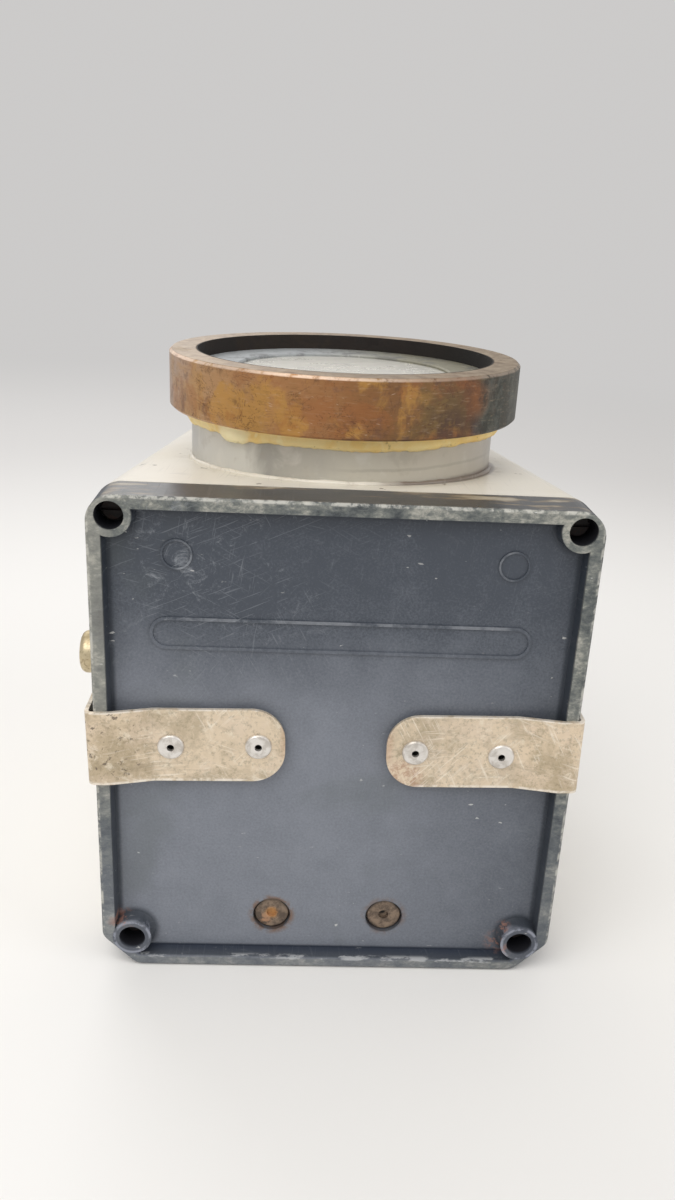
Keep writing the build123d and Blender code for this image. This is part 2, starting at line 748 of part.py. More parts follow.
with BuildPart() as fusee_arbor:
    with BuildSketch(Plane.XY.offset(lower_plate_bottom - 7)):
        with Locations(great_at):
            Rectangle(1.3, 1.3)
    extrude(amount=7)
    with BuildSketch(Plane.XY.offset(lower_plate_bottom)):
        with Locations(great_at):
            Circle(great_pivot)
    extrude(amount=upper_plate_top - lower_plate_bottom - 0.4)
    with BuildSketch(Plane.XY.offset(lower_plate_top + 0.3)):
        with Locations(great_at):
            Circle(1.6)
    extrude(amount=frame_gap - 0.6)

with BuildPart() as great_wheel:
    with BuildSketch(Plane.XY.offset(great_bottom)):
        with Locations(great_at):
            add(crossed_wheel(great_teeth, great_module, bearing(great_at, centre_at), 1.6, 6))
    extrude(amount=great_thickness)

chain_turn = 4
chain_share = (chain_turn + 0.5) / fusee_turns
chain_fusee_radius = fusee_small + (fusee_large - fusee_small) * chain_share**1.4 + 0.55
chain_barrel_radius = barrel_radius + 0.3
chain_thickness = 0.7
chain_height = 1.0
chain_bottom = fusee_bottom + 1.05 + chain_turn * groove_pitch
chain_line = bearing(great_at, barrel_at)
chain_span = hypot(barrel_at[0] - great_at[0], barrel_at[1] - great_at[1])
chain_lift = degrees(asin((chain_barrel_radius - chain_fusee_radius) / chain_span))


def chain_side(extra):
    """Chain path round the fusee, across and round the barrel."""
    leave = chain_line + 90 + chain_lift
    on_fusee = [polar(great_at, chain_fusee_radius + extra, leave + turn)
                for turn in range(200, -1, -10)]
    on_barrel = [polar(barrel_at, chain_barrel_radius + extra, leave - turn)
                 for turn in range(0, 231, 10)]
    return on_fusee + on_barrel


with BuildPart() as fusee_chain:
    with BuildSketch(Plane.XY.offset(chain_bottom)):
        with BuildLine():
            Polyline(*chain_side(0), *chain_side(chain_thickness)[::-1], close=True)
        make_face()
    extrude(amount=chain_height)

# ---------------------------------------------------------------- going train
centre_level = lower_plate_top + 1.0
third_level = 163.0
fourth_level = 157.5
escape_level = 153.5
wheel_thickness = 1.2

with BuildPart() as centre_wheel:
    with BuildSketch(Plane.XY.offset(centre_level)):
        add(crossed_wheel(centre_teeth, centre_module, bearing(centre_at, third_at), 1.6, 5))
    extrude(amount=wheel_thickness)

with BuildPart() as centre_arbor:
    with BuildSketch(Plane.XY.offset(lower_plate_bottom + 0.4)):
        Circle(centre_pivot)
    extrude(amount=minute_level + 0.9 - lower_plate_bottom)
    with BuildSketch(Plane.XY.offset(lower_plate_top + 0.3)):
        Circle(1.6)
    extrude(amount=frame_gap - 0.6)
    turn = mesh_pinion_turn(great_at, centre_at, centre_leaves)
    add(pinion(centre_at, centre_leaves, great_module, turn, great_bottom - 0.8, great_thickness + 1.6))

with BuildPart() as third_wheel:
    with BuildSketch(Plane.XY.offset(third_level)):
        with Locations(third_at):
            add(crossed_wheel(third_teeth, third_module, bearing(third_at, fourth_at), arbor_radius))
    extrude(amount=wheel_thickness)

with BuildPart() as third_arbor:
    add(arbor(third_at, lower_plate_top + 0.3, upper_plate_bottom - 0.3))
    turn = mesh_pinion_turn(centre_at, third_at, third_leaves)
    add(pinion(third_at, third_leaves, centre_module, turn, centre_level - 0.6, wheel_thickness + 1.2))

with BuildPart() as fourth_wheel:
    with BuildSketch(Plane.XY.offset(fourth_level)):
        with Locations(fourth_at):
            add(crossed_wheel(fourth_teeth, fourth_module, bearing(fourth_at, escape_at), arbor_radius))
    extrude(amount=wheel_thickness)

with BuildPart() as fourth_arbor:
    add(arbor(fourth_at, lower_plate_top + 0.3, upper_plate_bottom - 0.3))
    turn = mesh_pinion_turn(third_at, fourth_at, fourth_leaves)
    add(pinion(fourth_at, fourth_leaves, third_module, turn, third_level - 0.8, wheel_thickness + 1.6))
    with BuildSketch(Plane.XY.offset(upper_plate_bottom)):
        with Locations(fourth_at):
            Circle(pivot_radius)
    extrude(amount=seconds_level + 0.5 - upper_plate_bottom)


def escape_outline(turn):
    """Fifteen raked teeth on a light rim with four spokes."""
    pitch = 360 / escape_teeth
    tooth_shape = ((5.6, 0.0), (escape_radius, 1.0), (escape_radius, 3.5), (5.9, 11.0), (5.6, 18.0))
    outline = []
    for tooth in range(escape_teeth):
        outline += [polar((0, 0), radius, turn + tooth * pitch + step) for radius, step in tooth_shape]
    with BuildSketch() as wheel:
        with BuildLine():
            Polyline(*outline, close=True)
        make_face()
        Circle(4.6, mode=Mode.SUBTRACT)
        Circle(2.4)
        with PolarLocations(0, 4):
            Rectangle(5.0, 0.9, align=(Align.MIN, Align.CENTER))
        Circle(arbor_radius, mode=Mode.SUBTRACT)
    return wheel.sketch


with BuildPart() as escape_wheel:
    with BuildSketch(Plane.XY.offset(escape_level)):
        with Locations(escape_at):
            add(escape_outline(bearing(escape_at, balance_at) + 12))
    extrude(amount=0.9)

with BuildPart() as escape_arbor:
    add(arbor(escape_at, lower_plate_top + 0.3, upper_plate_bottom - 0.3))
    turn = mesh_pinion_turn(fourth_at, escape_at, escape_leaves)
    add(pinion(escape_at, escape_leaves, fourth_module, turn, fourth_level - 0.8, wheel_thickness + 1.6))

# ---------------------------------------------------------------- motion work under the dial
motion_level = upper_plate_top + 0.9
hour_wheel_level = upper_plate_top + 4.0
with BuildPart() as cannon_pinion:
    with BuildSketch(Plane.XY.offset(motion_level - 0.3)):
        Circle(cannon_radius)
    extrude(amount=minute_level + 0.6 - motion_level + 0.3)
    turn = bearing(centre_at, minute_at)
    add(pinion(centre_at, cannon_leaves, cannon_module, turn, motion_level, 1.9))
    with BuildSketch(Plane.XY.offset(motion_level - 1)):
        Circle(centre_pivot)
    extrude(amount=20, mode=Mode.SUBTRACT)

minute_stud_radius = 0.8
with BuildPart() as minute_stud:
    with BuildSketch(Plane.XY.offset(upper_plate_top)):
        with Locations(minute_at):
            Circle(1.8)
    extrude(amount=0.5)
    with BuildSketch(Plane.XY.offset(upper_plate_top)):
        with Locations(minute_at):
            Circle(minute_stud_radius)
    extrude(amount=dial_bottom - upper_plate_top - 0.6)

with BuildPart() as minute_wheel:
    with BuildSketch(Plane.XY.offset(motion_level + 0.2)):
        with Locations(minute_at):
            add(gear_face(minute_teeth, cannon_module,
                          mesh_pinion_turn(centre_at, minute_at, minute_teeth)))
    extrude(amount=wheel_thickness)
    turn = bearing(minute_at, centre_at)
    add(pinion(minute_at, minute_leaves, hour_module, turn, motion_level + 0.2,
               hour_wheel_level - motion_level + 1.2))
    with BuildSketch(Plane.XY.offset(upper_plate_top)):
        with Locations(minute_at):
            Circle(minute_stud_radius + running_clearance)
    extrude(amount=8, mode=Mode.SUBTRACT)

with BuildPart() as hour_wheel:
    with BuildSketch(Plane.XY.offset(hour_wheel_level)):
        turn = mesh_pinion_turn(minute_at, centre_at, hour_teeth)
        add(gear_face(hour_teeth, hour_module, turn))
    extrude(amount=1.0)
    with BuildSketch(Plane.XY.offset(hour_wheel_level)):
        Circle(hour_pipe_radius)
    extrude(amount=hour_level + 0.5 - hour_wheel_level)
    with BuildSketch(Plane.XY.offset(hour_wheel_level)):
        Circle(cannon_radius + 0.05)
    extrude(amount=12, mode=Mode.SUBTRACT)

# ---------------------------------------------------------------- balance and escapement
staff_bottom = 129.2
balance_bottom = 141.0
balance_radius = 13.0
with BuildPart() as balance_staff:
    with BuildSketch(Plane.XY.offset(staff_bottom - 1.5)):
        with Locations(balance_at):
            Circle(pivot_radius)
    extrude(amount=upper_plate_top - 0.4 - staff_bottom + 1.5)
    with BuildSketch(Plane.XY.offset(staff_bottom)):
        with Locations(balance_at):
            Circle(arbor_radius)
    extrude(amount=upper_plate_bottom - 0.3 - staff_bottom)

with BuildPart() as balance_roller:
    with BuildSketch(Plane.XY.offset(escape_level - 0.2)):
        with Locations(balance_at):
            Circle(roller_radius)
            with Locations((0, roller_radius)):
                Rectangle(1.2, 1.6, mode=Mode.SUBTRACT)
            Circle(arbor_radius, mode=Mode.SUBTRACT)
    extrude(amount=1.3)

rim_width = 1.6
with BuildPart() as balance_wheel:
    with BuildSketch(Plane.XY.offset(balance_bottom)):
        with Locations(balance_at):
            Circle(balance_radius - 1.0)
            Circle(balance_radius - 1.0 - rim_width, mode=Mode.SUBTRACT)
            with PolarLocations(balance_radius - 2, 2, start_angle=12):
                Rectangle(4, 0.8, mode=Mode.SUBTRACT)
    extrude(amount=3.0)
    with BuildSketch(Plane.XY.offset(balance_bottom)):
        with Locations(balance_at):
            Rectangle(2 * balance_radius - 3.2, 2.6)
            Circle(2.6)
            Circle(arbor_radius, mode=Mode.SUBTRACT)
    extrude(amount=1.0)
    with BuildSketch(Plane.XY.offset(balance_bottom)):
        with Locations(balance_at):
            with PolarLocations(balance_radius - 0.75, 12, start_angle=30):
                Rectangle(1.5, 1.5)
    extrude(amount=2.2)

spring_radius = 4.2
spring_bottom = 131.4
spring_height = 7.6
with BuildPart() as balance_spring:
    with BuildLine(Plane(origin=(*balance_at, spring_bottom))) as coil:
        Helix(pitch=1.0, height=spring_height, radius=spring_radius)
    with BuildSketch(Plane(origin=coil.line @ 0, z_dir=coil.line % 0)):
        Rectangle(0.3, 0.3)
    sweep()

cock_bottom = 126.0
with BuildPart() as balance_cock:
    with BuildSketch(Plane.XY.offset(cock_bottom)):
        with Locations(cock_foot_at):
            Circle(3.9)
    extrude(amount=lower_plate_bottom - cock_bottom)
    with BuildSketch(Plane.XY.offset(cock_bottom)):
        with BuildLine():
            across = bearing(cock_foot_at, balance_at) + 90
            Polyline(polar(cock_foot_at, 3.9, across), polar(balance_at, 2.4, across),
                     polar(balance_at, -2.4, across), polar(cock_foot_at, -3.9, across), close=True)
        make_face()
        with Locations(balance_at):
            Circle(3.2)
    extrude(amount=2.6)
    with BuildSketch(Plane.XY.offset(cock_bottom)):
        with Locations(balance_at):
            Circle(pivot_hole)
        with Locations(cock_foot_at):
            Circle(1.3)
    extrude(amount=lower_plate_bottom - cock_bottom, mode=Mode.SUBTRACT)

with BuildPart() as cock_screw:
    with BuildSketch(Plane.XY.offset(cock_bottom)):
        with Locations(cock_foot_at):
            Circle(2.4)
    extrude(amount=-1.4)
    with BuildSketch(Plane.XY.offset(cock_bottom - 1.4)):
        with Locations(cock_foot_at):
            Rectangle(6, 0.6)
    extrude(amount=0.7, mode=Mode.SUBTRACT)
    with BuildSketch(Plane.XY.offset(cock_bottom)):
        with Locations(cock_foot_at):
            Circle(1.25)
    extrude(amount=lower_plate_bottom - cock_bottom + 2)

detent_start = polar(escape_at, 9.6, 190)
detent_end = polar(balance_at, roller_radius + 1.4, 215)
with BuildPart() as detent:
    with BuildSketch(Plane.XY.offset(lower_plate_top)):
        with Locations(detent_start):
            Circle(1.8)
    extrude(amount=4.6)
    with BuildSketch(Plane.XY.offset(escape_level + 0.2)):
        with BuildLine():
            across = bearing(detent_start, detent_end) + 90
            Polyline(polar(detent_start, 0.5, across), polar(detent_end, 0.25, across),
                     polar(detent_end, -0.25, across), polar(detent_start, -0.5, across), close=True)
        make_face()
    extrude(amount=0.7)

with BuildPart() as pivot_jewels:
    with BuildSketch(Plane.XY.offset(cock_bottom - 0.8)):
        with Locations(balance_at):
            Circle(1.6)
    extrude(amount=0.8)
    with BuildSketch(Plane.XY.offset(upper_plate_top)):
        with Locations(balance_at, escape_at):
            Circle(1.6)
    extrude(amount=0.6)
    with BuildSketch(Plane.XY.offset(lower_plate_bottom)):
        with Locations(escape_at):
            Circle(1.6)
    extrude(amount=-0.6)

# ---------------------------------------------------------------- balance stop: knob, shaft and arm
knob_outside = -83.6
knob_inside = -77.2
flange_outside = -76.6
wall_outside = -(cover_width / 2 - side_draft * (knob_y - cover_back))
shaft_radius = 2.0
gland_radius = 3.9
shaft_inside = -16.9
arm_middle = balance_at[0]
stop_reach = 43.5

with BuildPart() as gland_bush:
    with BuildSketch(Plane.YZ.offset(flange_outside)):
        with Locations((knob_y, knob_z)):
            Circle(6.2)
    extrude(amount=wall_outside - 0.45 - flange_outside)
    with BuildSketch(Plane.YZ.offset(flange_outside)):
        with Locations((knob_y, knob_z)):
            Circle(gland_radius)
    extrude(amount=30)
    with BuildSketch(Plane.YZ.offset(flange_outside)):
        with Locations((knob_y, knob_z)):
            Circle(shaft_radius + running_clearance)
    extrude(amount=30, mode=Mode.SUBTRACT)
    with BuildSketch(Plane.YZ.offset(-60)):
        with Locations((knob_y, knob_z)):
            Circle(shaft_radius + 0.9)
    extrude(amount=1.8, mode=Mode.SUBTRACT)

with BuildPart() as gland_nut:
    with BuildSketch(Plane.YZ.offset(-70.6)):
        with Locations((knob_y, knob_z)):
            RegularPolygon(6.4, 6)
            Circle(gland_radius, mode=Mode.SUBTRACT)
    extrude(amount=3.2)

with BuildPart() as shaft_seal:
    with BuildSketch(Plane.YZ.offset(-59.9)):
        with Locations((knob_y, knob_z)):
            Circle(shaft_radius + 0.85)
            Circle(shaft_radius + 0.05, mode=Mode.SUBTRACT)
    extrude(amount=1.6)

with BuildPart() as stop_shaft:
    with BuildSketch(Plane.YZ.offset(knob_outside + 1.2)):
        with Locations((knob_y, knob_z)):
            Circle(shaft_radius)
    extrude(amount=shaft_inside - knob_outside - 1.2)

with BuildPart() as stop_knob:
    with BuildSketch(Plane.YZ.offset(knob_outside)):
        with Locations((knob_y, knob_z)):
            Circle(knob_radius)
    extrude(amount=knob_inside - knob_outside)
    fillet(stop_knob.faces().sort_by(Axis.X)[0].edges(), 2.2)
    with BuildSketch(Plane.YZ.offset(knob_outside)):
        with Locations((knob_y, knob_z)):
            Rectangle(1.4, 2 * knob_radius)
    extrude(amount=0.9, mode=Mode.SUBTRACT)
    with BuildSketch(Plane.YZ.offset(knob_outside + 1.2)):
        with Locations((knob_y, knob_z)):
            Circle(shaft_radius)
    extrude(amount=10, mode=Mode.SUBTRACT)

with BuildPart() as stop_arm:
    with BuildSketch(Plane.YZ.offset(arm_middle - 1.5)):
        with Locations((knob_y, knob_z)):
            Circle(4.4)
        with BuildLine():
            Polyline((knob_y - 3.2, knob_z), (knob_y + 3.2, knob_z),
                     (knob_y + 1.2, knob_z + stop_reach - 2),
                     (knob_y - 1.2, knob_z + stop_reach - 2), close=True)
        make_face()
        with Locations((knob_y, knob_z)):
            Circle(shaft_radius, mode=Mode.SUBTRACT)
    extrude(amount=3.0)

with BuildPart() as stop_pad:
    with BuildSketch(Plane.XZ.offset(-(knob_y + 1.0))):
        with Locations((arm_middle, knob_z + stop_reach - 1.3)):
            RectangleRounded(5.0, 3.0, 0.6)
    extrude(amount=2.0)
    with BuildSketch(Plane.YZ.offset(arm_middle - 1.5)):
        with BuildLine():
            Polyline((knob_y - 3.2, knob_z), (knob_y + 3.2, knob_z),
                     (knob_y + 1.2, knob_z + stop_reach - 2),
                     (knob_y - 1.2, knob_z + stop_reach - 2), close=True)
        make_face()
    extrude(amount=3.0, mode=Mode.SUBTRACT)

# ---------------------------------------------------------------- labels and files
pieces = {
    "case_body": case_body, "front_cover": front_cover, "cover_gasket": cover_gasket,
    "cover_screws": cover_screws, "cover_plugs": cover_plugs, "left_strap": left_strap,
    "right_strap": right_strap, "strap_rivets": strap_rivets, "neck_collar": neck_collar,
    "neck_seal": neck_seal, "bezel": bezel, "glass_ring": glass_ring, "crystal": crystal,
    "glass_gasket": glass_gasket, "dial_plate": dial_plate, "chapter_ring": chapter_ring,
    "seconds_dial": seconds_dial, "hour_hand": hour_hand, "minute_hand": minute_hand,
    "seconds_hand": seconds_hand, "upper_plate": upper_plate, "lower_plate": lower_plate,
    "pillars": pillars, "pillar_screws": pillar_screws, "plate_screws": plate_screws,
    "pivot_jewels": pivot_jewels, "barrel": barrel, "barrel_arbor": barrel_arbor,
    "mainspring": mainspring, "fusee": fusee, "fusee_arbor": fusee_arbor,
    "great_wheel": great_wheel, "fusee_chain": fusee_chain, "centre_wheel": centre_wheel,
    "centre_arbor": centre_arbor, "third_wheel": third_wheel, "third_arbor": third_arbor,
    "fourth_wheel": fourth_wheel, "fourth_arbor": fourth_arbor, "escape_wheel": escape_wheel,
    "escape_arbor": escape_arbor, "cannon_pinion": cannon_pinion, "minute_stud": minute_stud,
    "minute_wheel": minute_wheel, "hour_wheel": hour_wheel, "balance_wheel": balance_wheel,
    "balance_staff": balance_staff, "balance_roller": balance_roller,
    "balance_spring": balance_spring, "balance_cock": balance_cock, "cock_screw": cock_screw,
    "detent": detent, "gland_bush": gland_bush, "gland_nut": gland_nut, "shaft_seal": shaft_seal,
    "stop_shaft": stop_shaft, "stop_knob": stop_knob, "stop_arm": stop_arm, "stop_pad": stop_pad,
}
for name, piece in pieces.items():
    piece.part.label = name
    export_step(piece.part, f"parts/{name}.step")
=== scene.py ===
"""Looks of a marine chronometer in a sealed case: finishes, sealing, dial markings and a stage."""

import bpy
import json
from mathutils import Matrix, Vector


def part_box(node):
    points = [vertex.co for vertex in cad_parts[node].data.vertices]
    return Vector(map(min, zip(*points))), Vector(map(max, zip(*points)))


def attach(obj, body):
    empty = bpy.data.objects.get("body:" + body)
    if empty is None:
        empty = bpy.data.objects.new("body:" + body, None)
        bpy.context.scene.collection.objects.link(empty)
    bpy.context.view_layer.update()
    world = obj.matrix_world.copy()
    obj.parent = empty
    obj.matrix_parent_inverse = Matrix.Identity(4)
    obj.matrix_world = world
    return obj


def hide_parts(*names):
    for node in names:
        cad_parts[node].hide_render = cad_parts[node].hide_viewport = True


bl_info = {
    "name": "Sealed Case Chronometer",
    "version": (1, 0, 0),
    "blender": (4, 5, 0),
    "location": "View3D > Sidebar > Chronometer",
    "description": "Builds the finishes, sealing bead, dial markings and stage of a cased chronometer",
    "category": "Object",
}

import json
from math import cos, pi, radians, sin

import bmesh
import bpy
from bpy.props import FloatProperty, FloatVectorProperty, IntProperty, PointerProperty
from mathutils import Matrix, Vector, noise

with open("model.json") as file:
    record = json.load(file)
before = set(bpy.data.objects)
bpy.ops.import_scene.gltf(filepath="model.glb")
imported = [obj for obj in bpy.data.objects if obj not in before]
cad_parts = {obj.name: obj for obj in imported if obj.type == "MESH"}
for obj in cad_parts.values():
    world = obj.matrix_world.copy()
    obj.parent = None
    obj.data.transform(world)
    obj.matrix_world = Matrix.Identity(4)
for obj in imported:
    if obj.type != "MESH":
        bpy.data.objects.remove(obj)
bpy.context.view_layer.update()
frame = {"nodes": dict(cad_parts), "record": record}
nodes = frame["nodes"]
finishes = {}

cover_low, cover_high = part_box("front_cover")
case_low, case_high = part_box("case_body")
seal_low, seal_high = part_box("neck_seal")
seconds_low, seconds_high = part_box("seconds_dial")
neck_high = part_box("neck_collar")[1]
chapter_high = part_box("chapter_ring")[1]

# The cover's face, and what stands on it: each boss's and plug's place across and up.
FACE = cover_low.y
CORNER_BOSSES = ((-0.0682, 0.157), (0.0682, 0.157), (-0.0652, 0.011), (0.0652, 0.011))
LOWER_BOSSES = CORNER_BOSSES[2:]
PLUG_ACROSS, PLUG_UP = 0.019, 0.0176
# A strap's lower edge: its height at the cover's side and its rise for each metre inwards.
STRAP_LEFT = (0.0699, 0.0201)
STRAP_RIGHT = (0.0711, -0.0175)
# How steeply the top of the case falls towards the back.
TOP_FALL = 0.073
# The lump in the sealing: its bearing and half its spread.
LUMP_AT, LUMP_SPREAD = radians(229), radians(7)
# Steps round the sealing and round the foot bead, and the sides of the bead's section.
SEAL_STEPS, BEAD_STEPS, BEAD_SIDES = 288, 240, 10
HOURS = ("XII", "I", "II", "III", "IIII", "V", "VI", "VII", "VIII", "IX", "X", "XI")
ROOM_TONE = (0.915, 0.90, 0.89)
ROOM_LIGHT = 0.66
FLOOR_RADIUS = 30.0
FLOOR_DROP = 0.0002
# The camera's place in metres and its yaw, pitch and roll in radians.
CAMERA_PLACE = Vector((-0.01517, -0.35593, 0.23879))
CAMERA_TURN = (0.0468, 0.361, 0.0491)
# Each lamp: name, place, what it faces, width, watts and colour.
LAMPS = (("ceiling_light", (-0.5, -0.9, 1.5), (0, 0, 0.08), 1.4, 18, (1.0, 0.985, 0.96)),
         ("side_light", (1.4, -0.7, 0.8), (0, 0, 0.1), 1.0, 5, (0.95, 0.97, 1.0)),
         ("back_light", (-0.6, 1.4, 1.1), (0, 0, 0.15), 1.2, 7, (1.0, 1.0, 1.0)))


# ---------------------------------------- shader writing
class Wire:
    """A socket in a material's tree that takes part in sums."""

    def __init__(self, tree, socket):
        self.tree = tree
        self.socket = socket

    def maths(self, operation, first, second=None):
        node = self.tree.nodes.new("ShaderNodeMath")
        node.operation = operation
        for place, value in enumerate((first, second)):
            if isinstance(value, Wire):
                self.tree.links.new(value.socket, node.inputs[place])
            elif value is not None:
                node.inputs[place].default_value = value
        return Wire(self.tree, node.outputs[0])

    def __add__(self, other):
        return self.maths("ADD", self, other)

    def __sub__(self, other):
        return self.maths("SUBTRACT", self, other)

    def __rsub__(self, other):
        return self.maths("SUBTRACT", other, self)

    def __mul__(self, other):
        return self.maths("MULTIPLY", self, other)

    def __truediv__(self, other):
        return self.maths("DIVIDE", self, other)

    def __abs__(self):
        return self.maths("ABSOLUTE", self)

    def __or__(self, other):
        return self.maths("MAXIMUM", self, other)

    def __and__(self, other):
        return self.maths("MINIMUM", self, other)

    __radd__ = __add__
    __rmul__ = __mul__


class Finish:
    """One procedural material on a Principled shader that reads Object coordinates."""

    def __init__(self, name, **constants):
        self.material = bpy.data.materials.new(name)
        self.material.use_nodes = True
        self.tree = self.material.node_tree
        self.tree.nodes.clear()
        self.output = self.tree.nodes.new("ShaderNodeOutputMaterial")
        self.shader = self.tree.nodes.new("ShaderNodeBsdfPrincipled")
        self.tree.links.new(self.shader.outputs[0], self.output.inputs["Surface"])
        for socket, value in constants.items():
            self.shader.inputs[socket.replace("_", " ")].default_value = value
        self.place = self.node("ShaderNodeTexCoord", {}, {}, "Object")
        self.base = None
        self.surface = None
        finishes[name] = self.material

    def node(self, kind, settings, values, outlet=0):
        made = self.tree.nodes.new(kind)
        for name, value in settings.items():
            if name == "stops":
                while len(made.color_ramp.elements) < len(value):
                    made.color_ramp.elements.new(0.5)
                for stop, (position, colour) in zip(made.color_ramp.elements, value):
                    stop.position = position
                for stop, (position, colour) in zip(made.color_ramp.elements, value):
                    stop.color = (*colour, 1)
            else:
                setattr(made, name, value)
        for name, value in values.items():
            if isinstance(value, Wire):
                self.tree.links.new(value.socket, made.inputs[name])
            elif value is not None:
                made.inputs[name].default_value = value
        return Wire(self.tree, made.outputs[outlet])

    def axes(self):
        parts = self.node("ShaderNodeSeparateXYZ", {}, {0: self.place}).socket.node
        return [Wire(self.tree, parts.outputs[axis]) for axis in range(3)]

    def moved(self, shift=(0, 0, 0), stretch=(1, 1, 1), turn=(0, 0, 0), source=None):
        return self.node("ShaderNodeMapping", {},
                         {"Vector": source or self.place, "Location": shift, "Rotation": turn,
                          "Scale": stretch})

    def grain(self, scale, detail=3.0, roughness=0.55, distortion=0.0, source=None, **mapping):
        source = self.moved(source=source, **mapping) if mapping else source or self.place
        return self.node("ShaderNodeTexNoise", {},
                         {"Vector": source, "Scale": scale, "Detail": detail,
                          "Roughness": roughness, "Distortion": distortion})

    def patches(self, low, high, *grain, **mapping):
        """Mask of the places where a grain rises from a low value to a high one."""
        return self.step(self.grain(*grain, **mapping), low, high)

    def step(self, value, start, end):
        return self.node("ShaderNodeMapRange", {"interpolation_type": "SMOOTHSTEP"},
                         {"Value": value, "From Min": start, "From Max": end})

    def ramp(self, value, stops):
        return self.node("ShaderNodeValToRGB", {"stops": stops}, {0: value})

    def mix(self, under, over, amount):
        def colour(value):
            return value if isinstance(value, Wire) else (*value, 1)
        return self.node("ShaderNodeMix", {"data_type": "RGBA"},
                         {0: amount, 6: colour(under), 7: colour(over)}, 2)

    def over(self, colour, amount):
        """Lay a colour over the colours that are there."""
        self.base = self.mix(self.base, colour, amount)

    def bearing(self, x, y):
        """Angle round the upright axis, 0 in front and growing to the right."""
        return self.node("ShaderNodeMath", {"operation": "ARCTAN2"}, {0: x, 1: y * -1.0})

    def from_axis(self, x, y):
        """Distance from the upright axis."""
        flat = self.node("ShaderNodeCombineXYZ", {}, {0: x, 1: y})
        return self.node("ShaderNodeVectorMath", {"operation": "LENGTH"}, {0: flat}, "Value")

    def near(self, point, inner, outer):
        """Mask that is 1 inside a radius of a point and 0 outside a larger one, in metres."""
        gap = self.node("ShaderNodeVectorMath", {"operation": "DISTANCE"},
                        {0: self.place, 1: point}, "Value")
        return self.step(gap, outer, inner)

    def column(self, x, z, place, inner, outer):
        """Mask that is 1 inside a radius of a line running front to back, in metres."""
        flat = self.node("ShaderNodeCombineXYZ", {}, {0: x, 2: z})
        gap = self.node("ShaderNodeVectorMath", {"operation": "DISTANCE"},
                        {0: flat, 1: (place[0], 0, place[1])}, "Value")
        return self.step(gap, outer, inner)

    def bump(self, height, depth, strength=1.0):
        values = {"Height": height, "Distance": depth, "Strength": strength}
        if self.surface:
            values["Normal"] = self.surface
        self.surface = self.node("ShaderNodeBump", {}, values)

    def wear(self, **looks):
        """Join the colour, the surface and the other looks that vary to the shader."""
        for socket, value in dict(looks, Base_Color=self.base).items():
            self.tree.links.new(value.socket, self.shader.inputs[socket.replace("_", " ")])
        if self.surface:
            self.tree.links.new(self.surface.socket, self.shader.inputs["Normal"])


def any_of(masks):
    """The strongest of several masks."""
    whole = masks[0]
    for mask in masks[1:]:
        whole = whole | mask
    return whole


def soft_marks(finish, turns, fineness=2300, length=0.04, low=0.66, patchy=38):
    """Fine straight scratches running in a few directions across a face."""
    marks = []
    for number, turn in enumerate(turns):
        turned = finish.moved(shift=(number * 0.37, 0.1, number * 0.21), turn=(0, radians(turn), 0))
        line = finish.patches(low, low + 0.06, fineness, 1.0, 0.5, 0.0, turned,
                              stretch=(length, 0.01, 1))
        patch = finish.patches(0.48, 0.66, patchy, 2.0, 0.5, 0.0, shift=(number * 1.7, 0.4, 2.3))
        marks.append(line * patch)
    return any_of(marks)


# ---------------------------------------- finishes
def face_band(paint, side, z, sides, top, foot, corners):
    """Mask of a band round the cover's face, from where it starts and is full on each side."""
    return any_of([paint.step(side, *sides), paint.step(z, *top),
                   paint.step(z, *foot), paint.step(side - z, *corners)])


def boss_discs(paint, bosses, depth, inner, outer):
    """Mask of a disc on each of the given bosses."""
    return any_of([paint.near((x, depth, z), inner, outer) for x, z in bosses])


def cover_dust(paint, colours, x, z, film, fine):
    """Clean moulding under a paler tone that thickens towards the foot and the left: dust together with
    painted light, leaving painted shade higher up.
    """
    cloud = paint.grain(16, 4, 0.6, 0.3)
    # Partly dust, partly painted light: paler low down and to the left.
    dust_and_light = (paint.step(z + cloud * 0.04, 0.162, 0.105) * (paint.step(x, 0.072, -0.005) * 0.50 + 0.36)
             + (film - 0.5) * 0.50 + (fine - 0.5) * 0.75)
    dust_and_light = (dust_and_light | 0.0) & 1.0
    paint.base = paint.mix(colours.moulding, colours.moulding_dust, dust_and_light)
    paint.over((0.085, 0.10, 0.098), paint.patches(0.58, 0.74, 24, 3, 0.5, 0.4) * 0.30)
    return dust_and_light


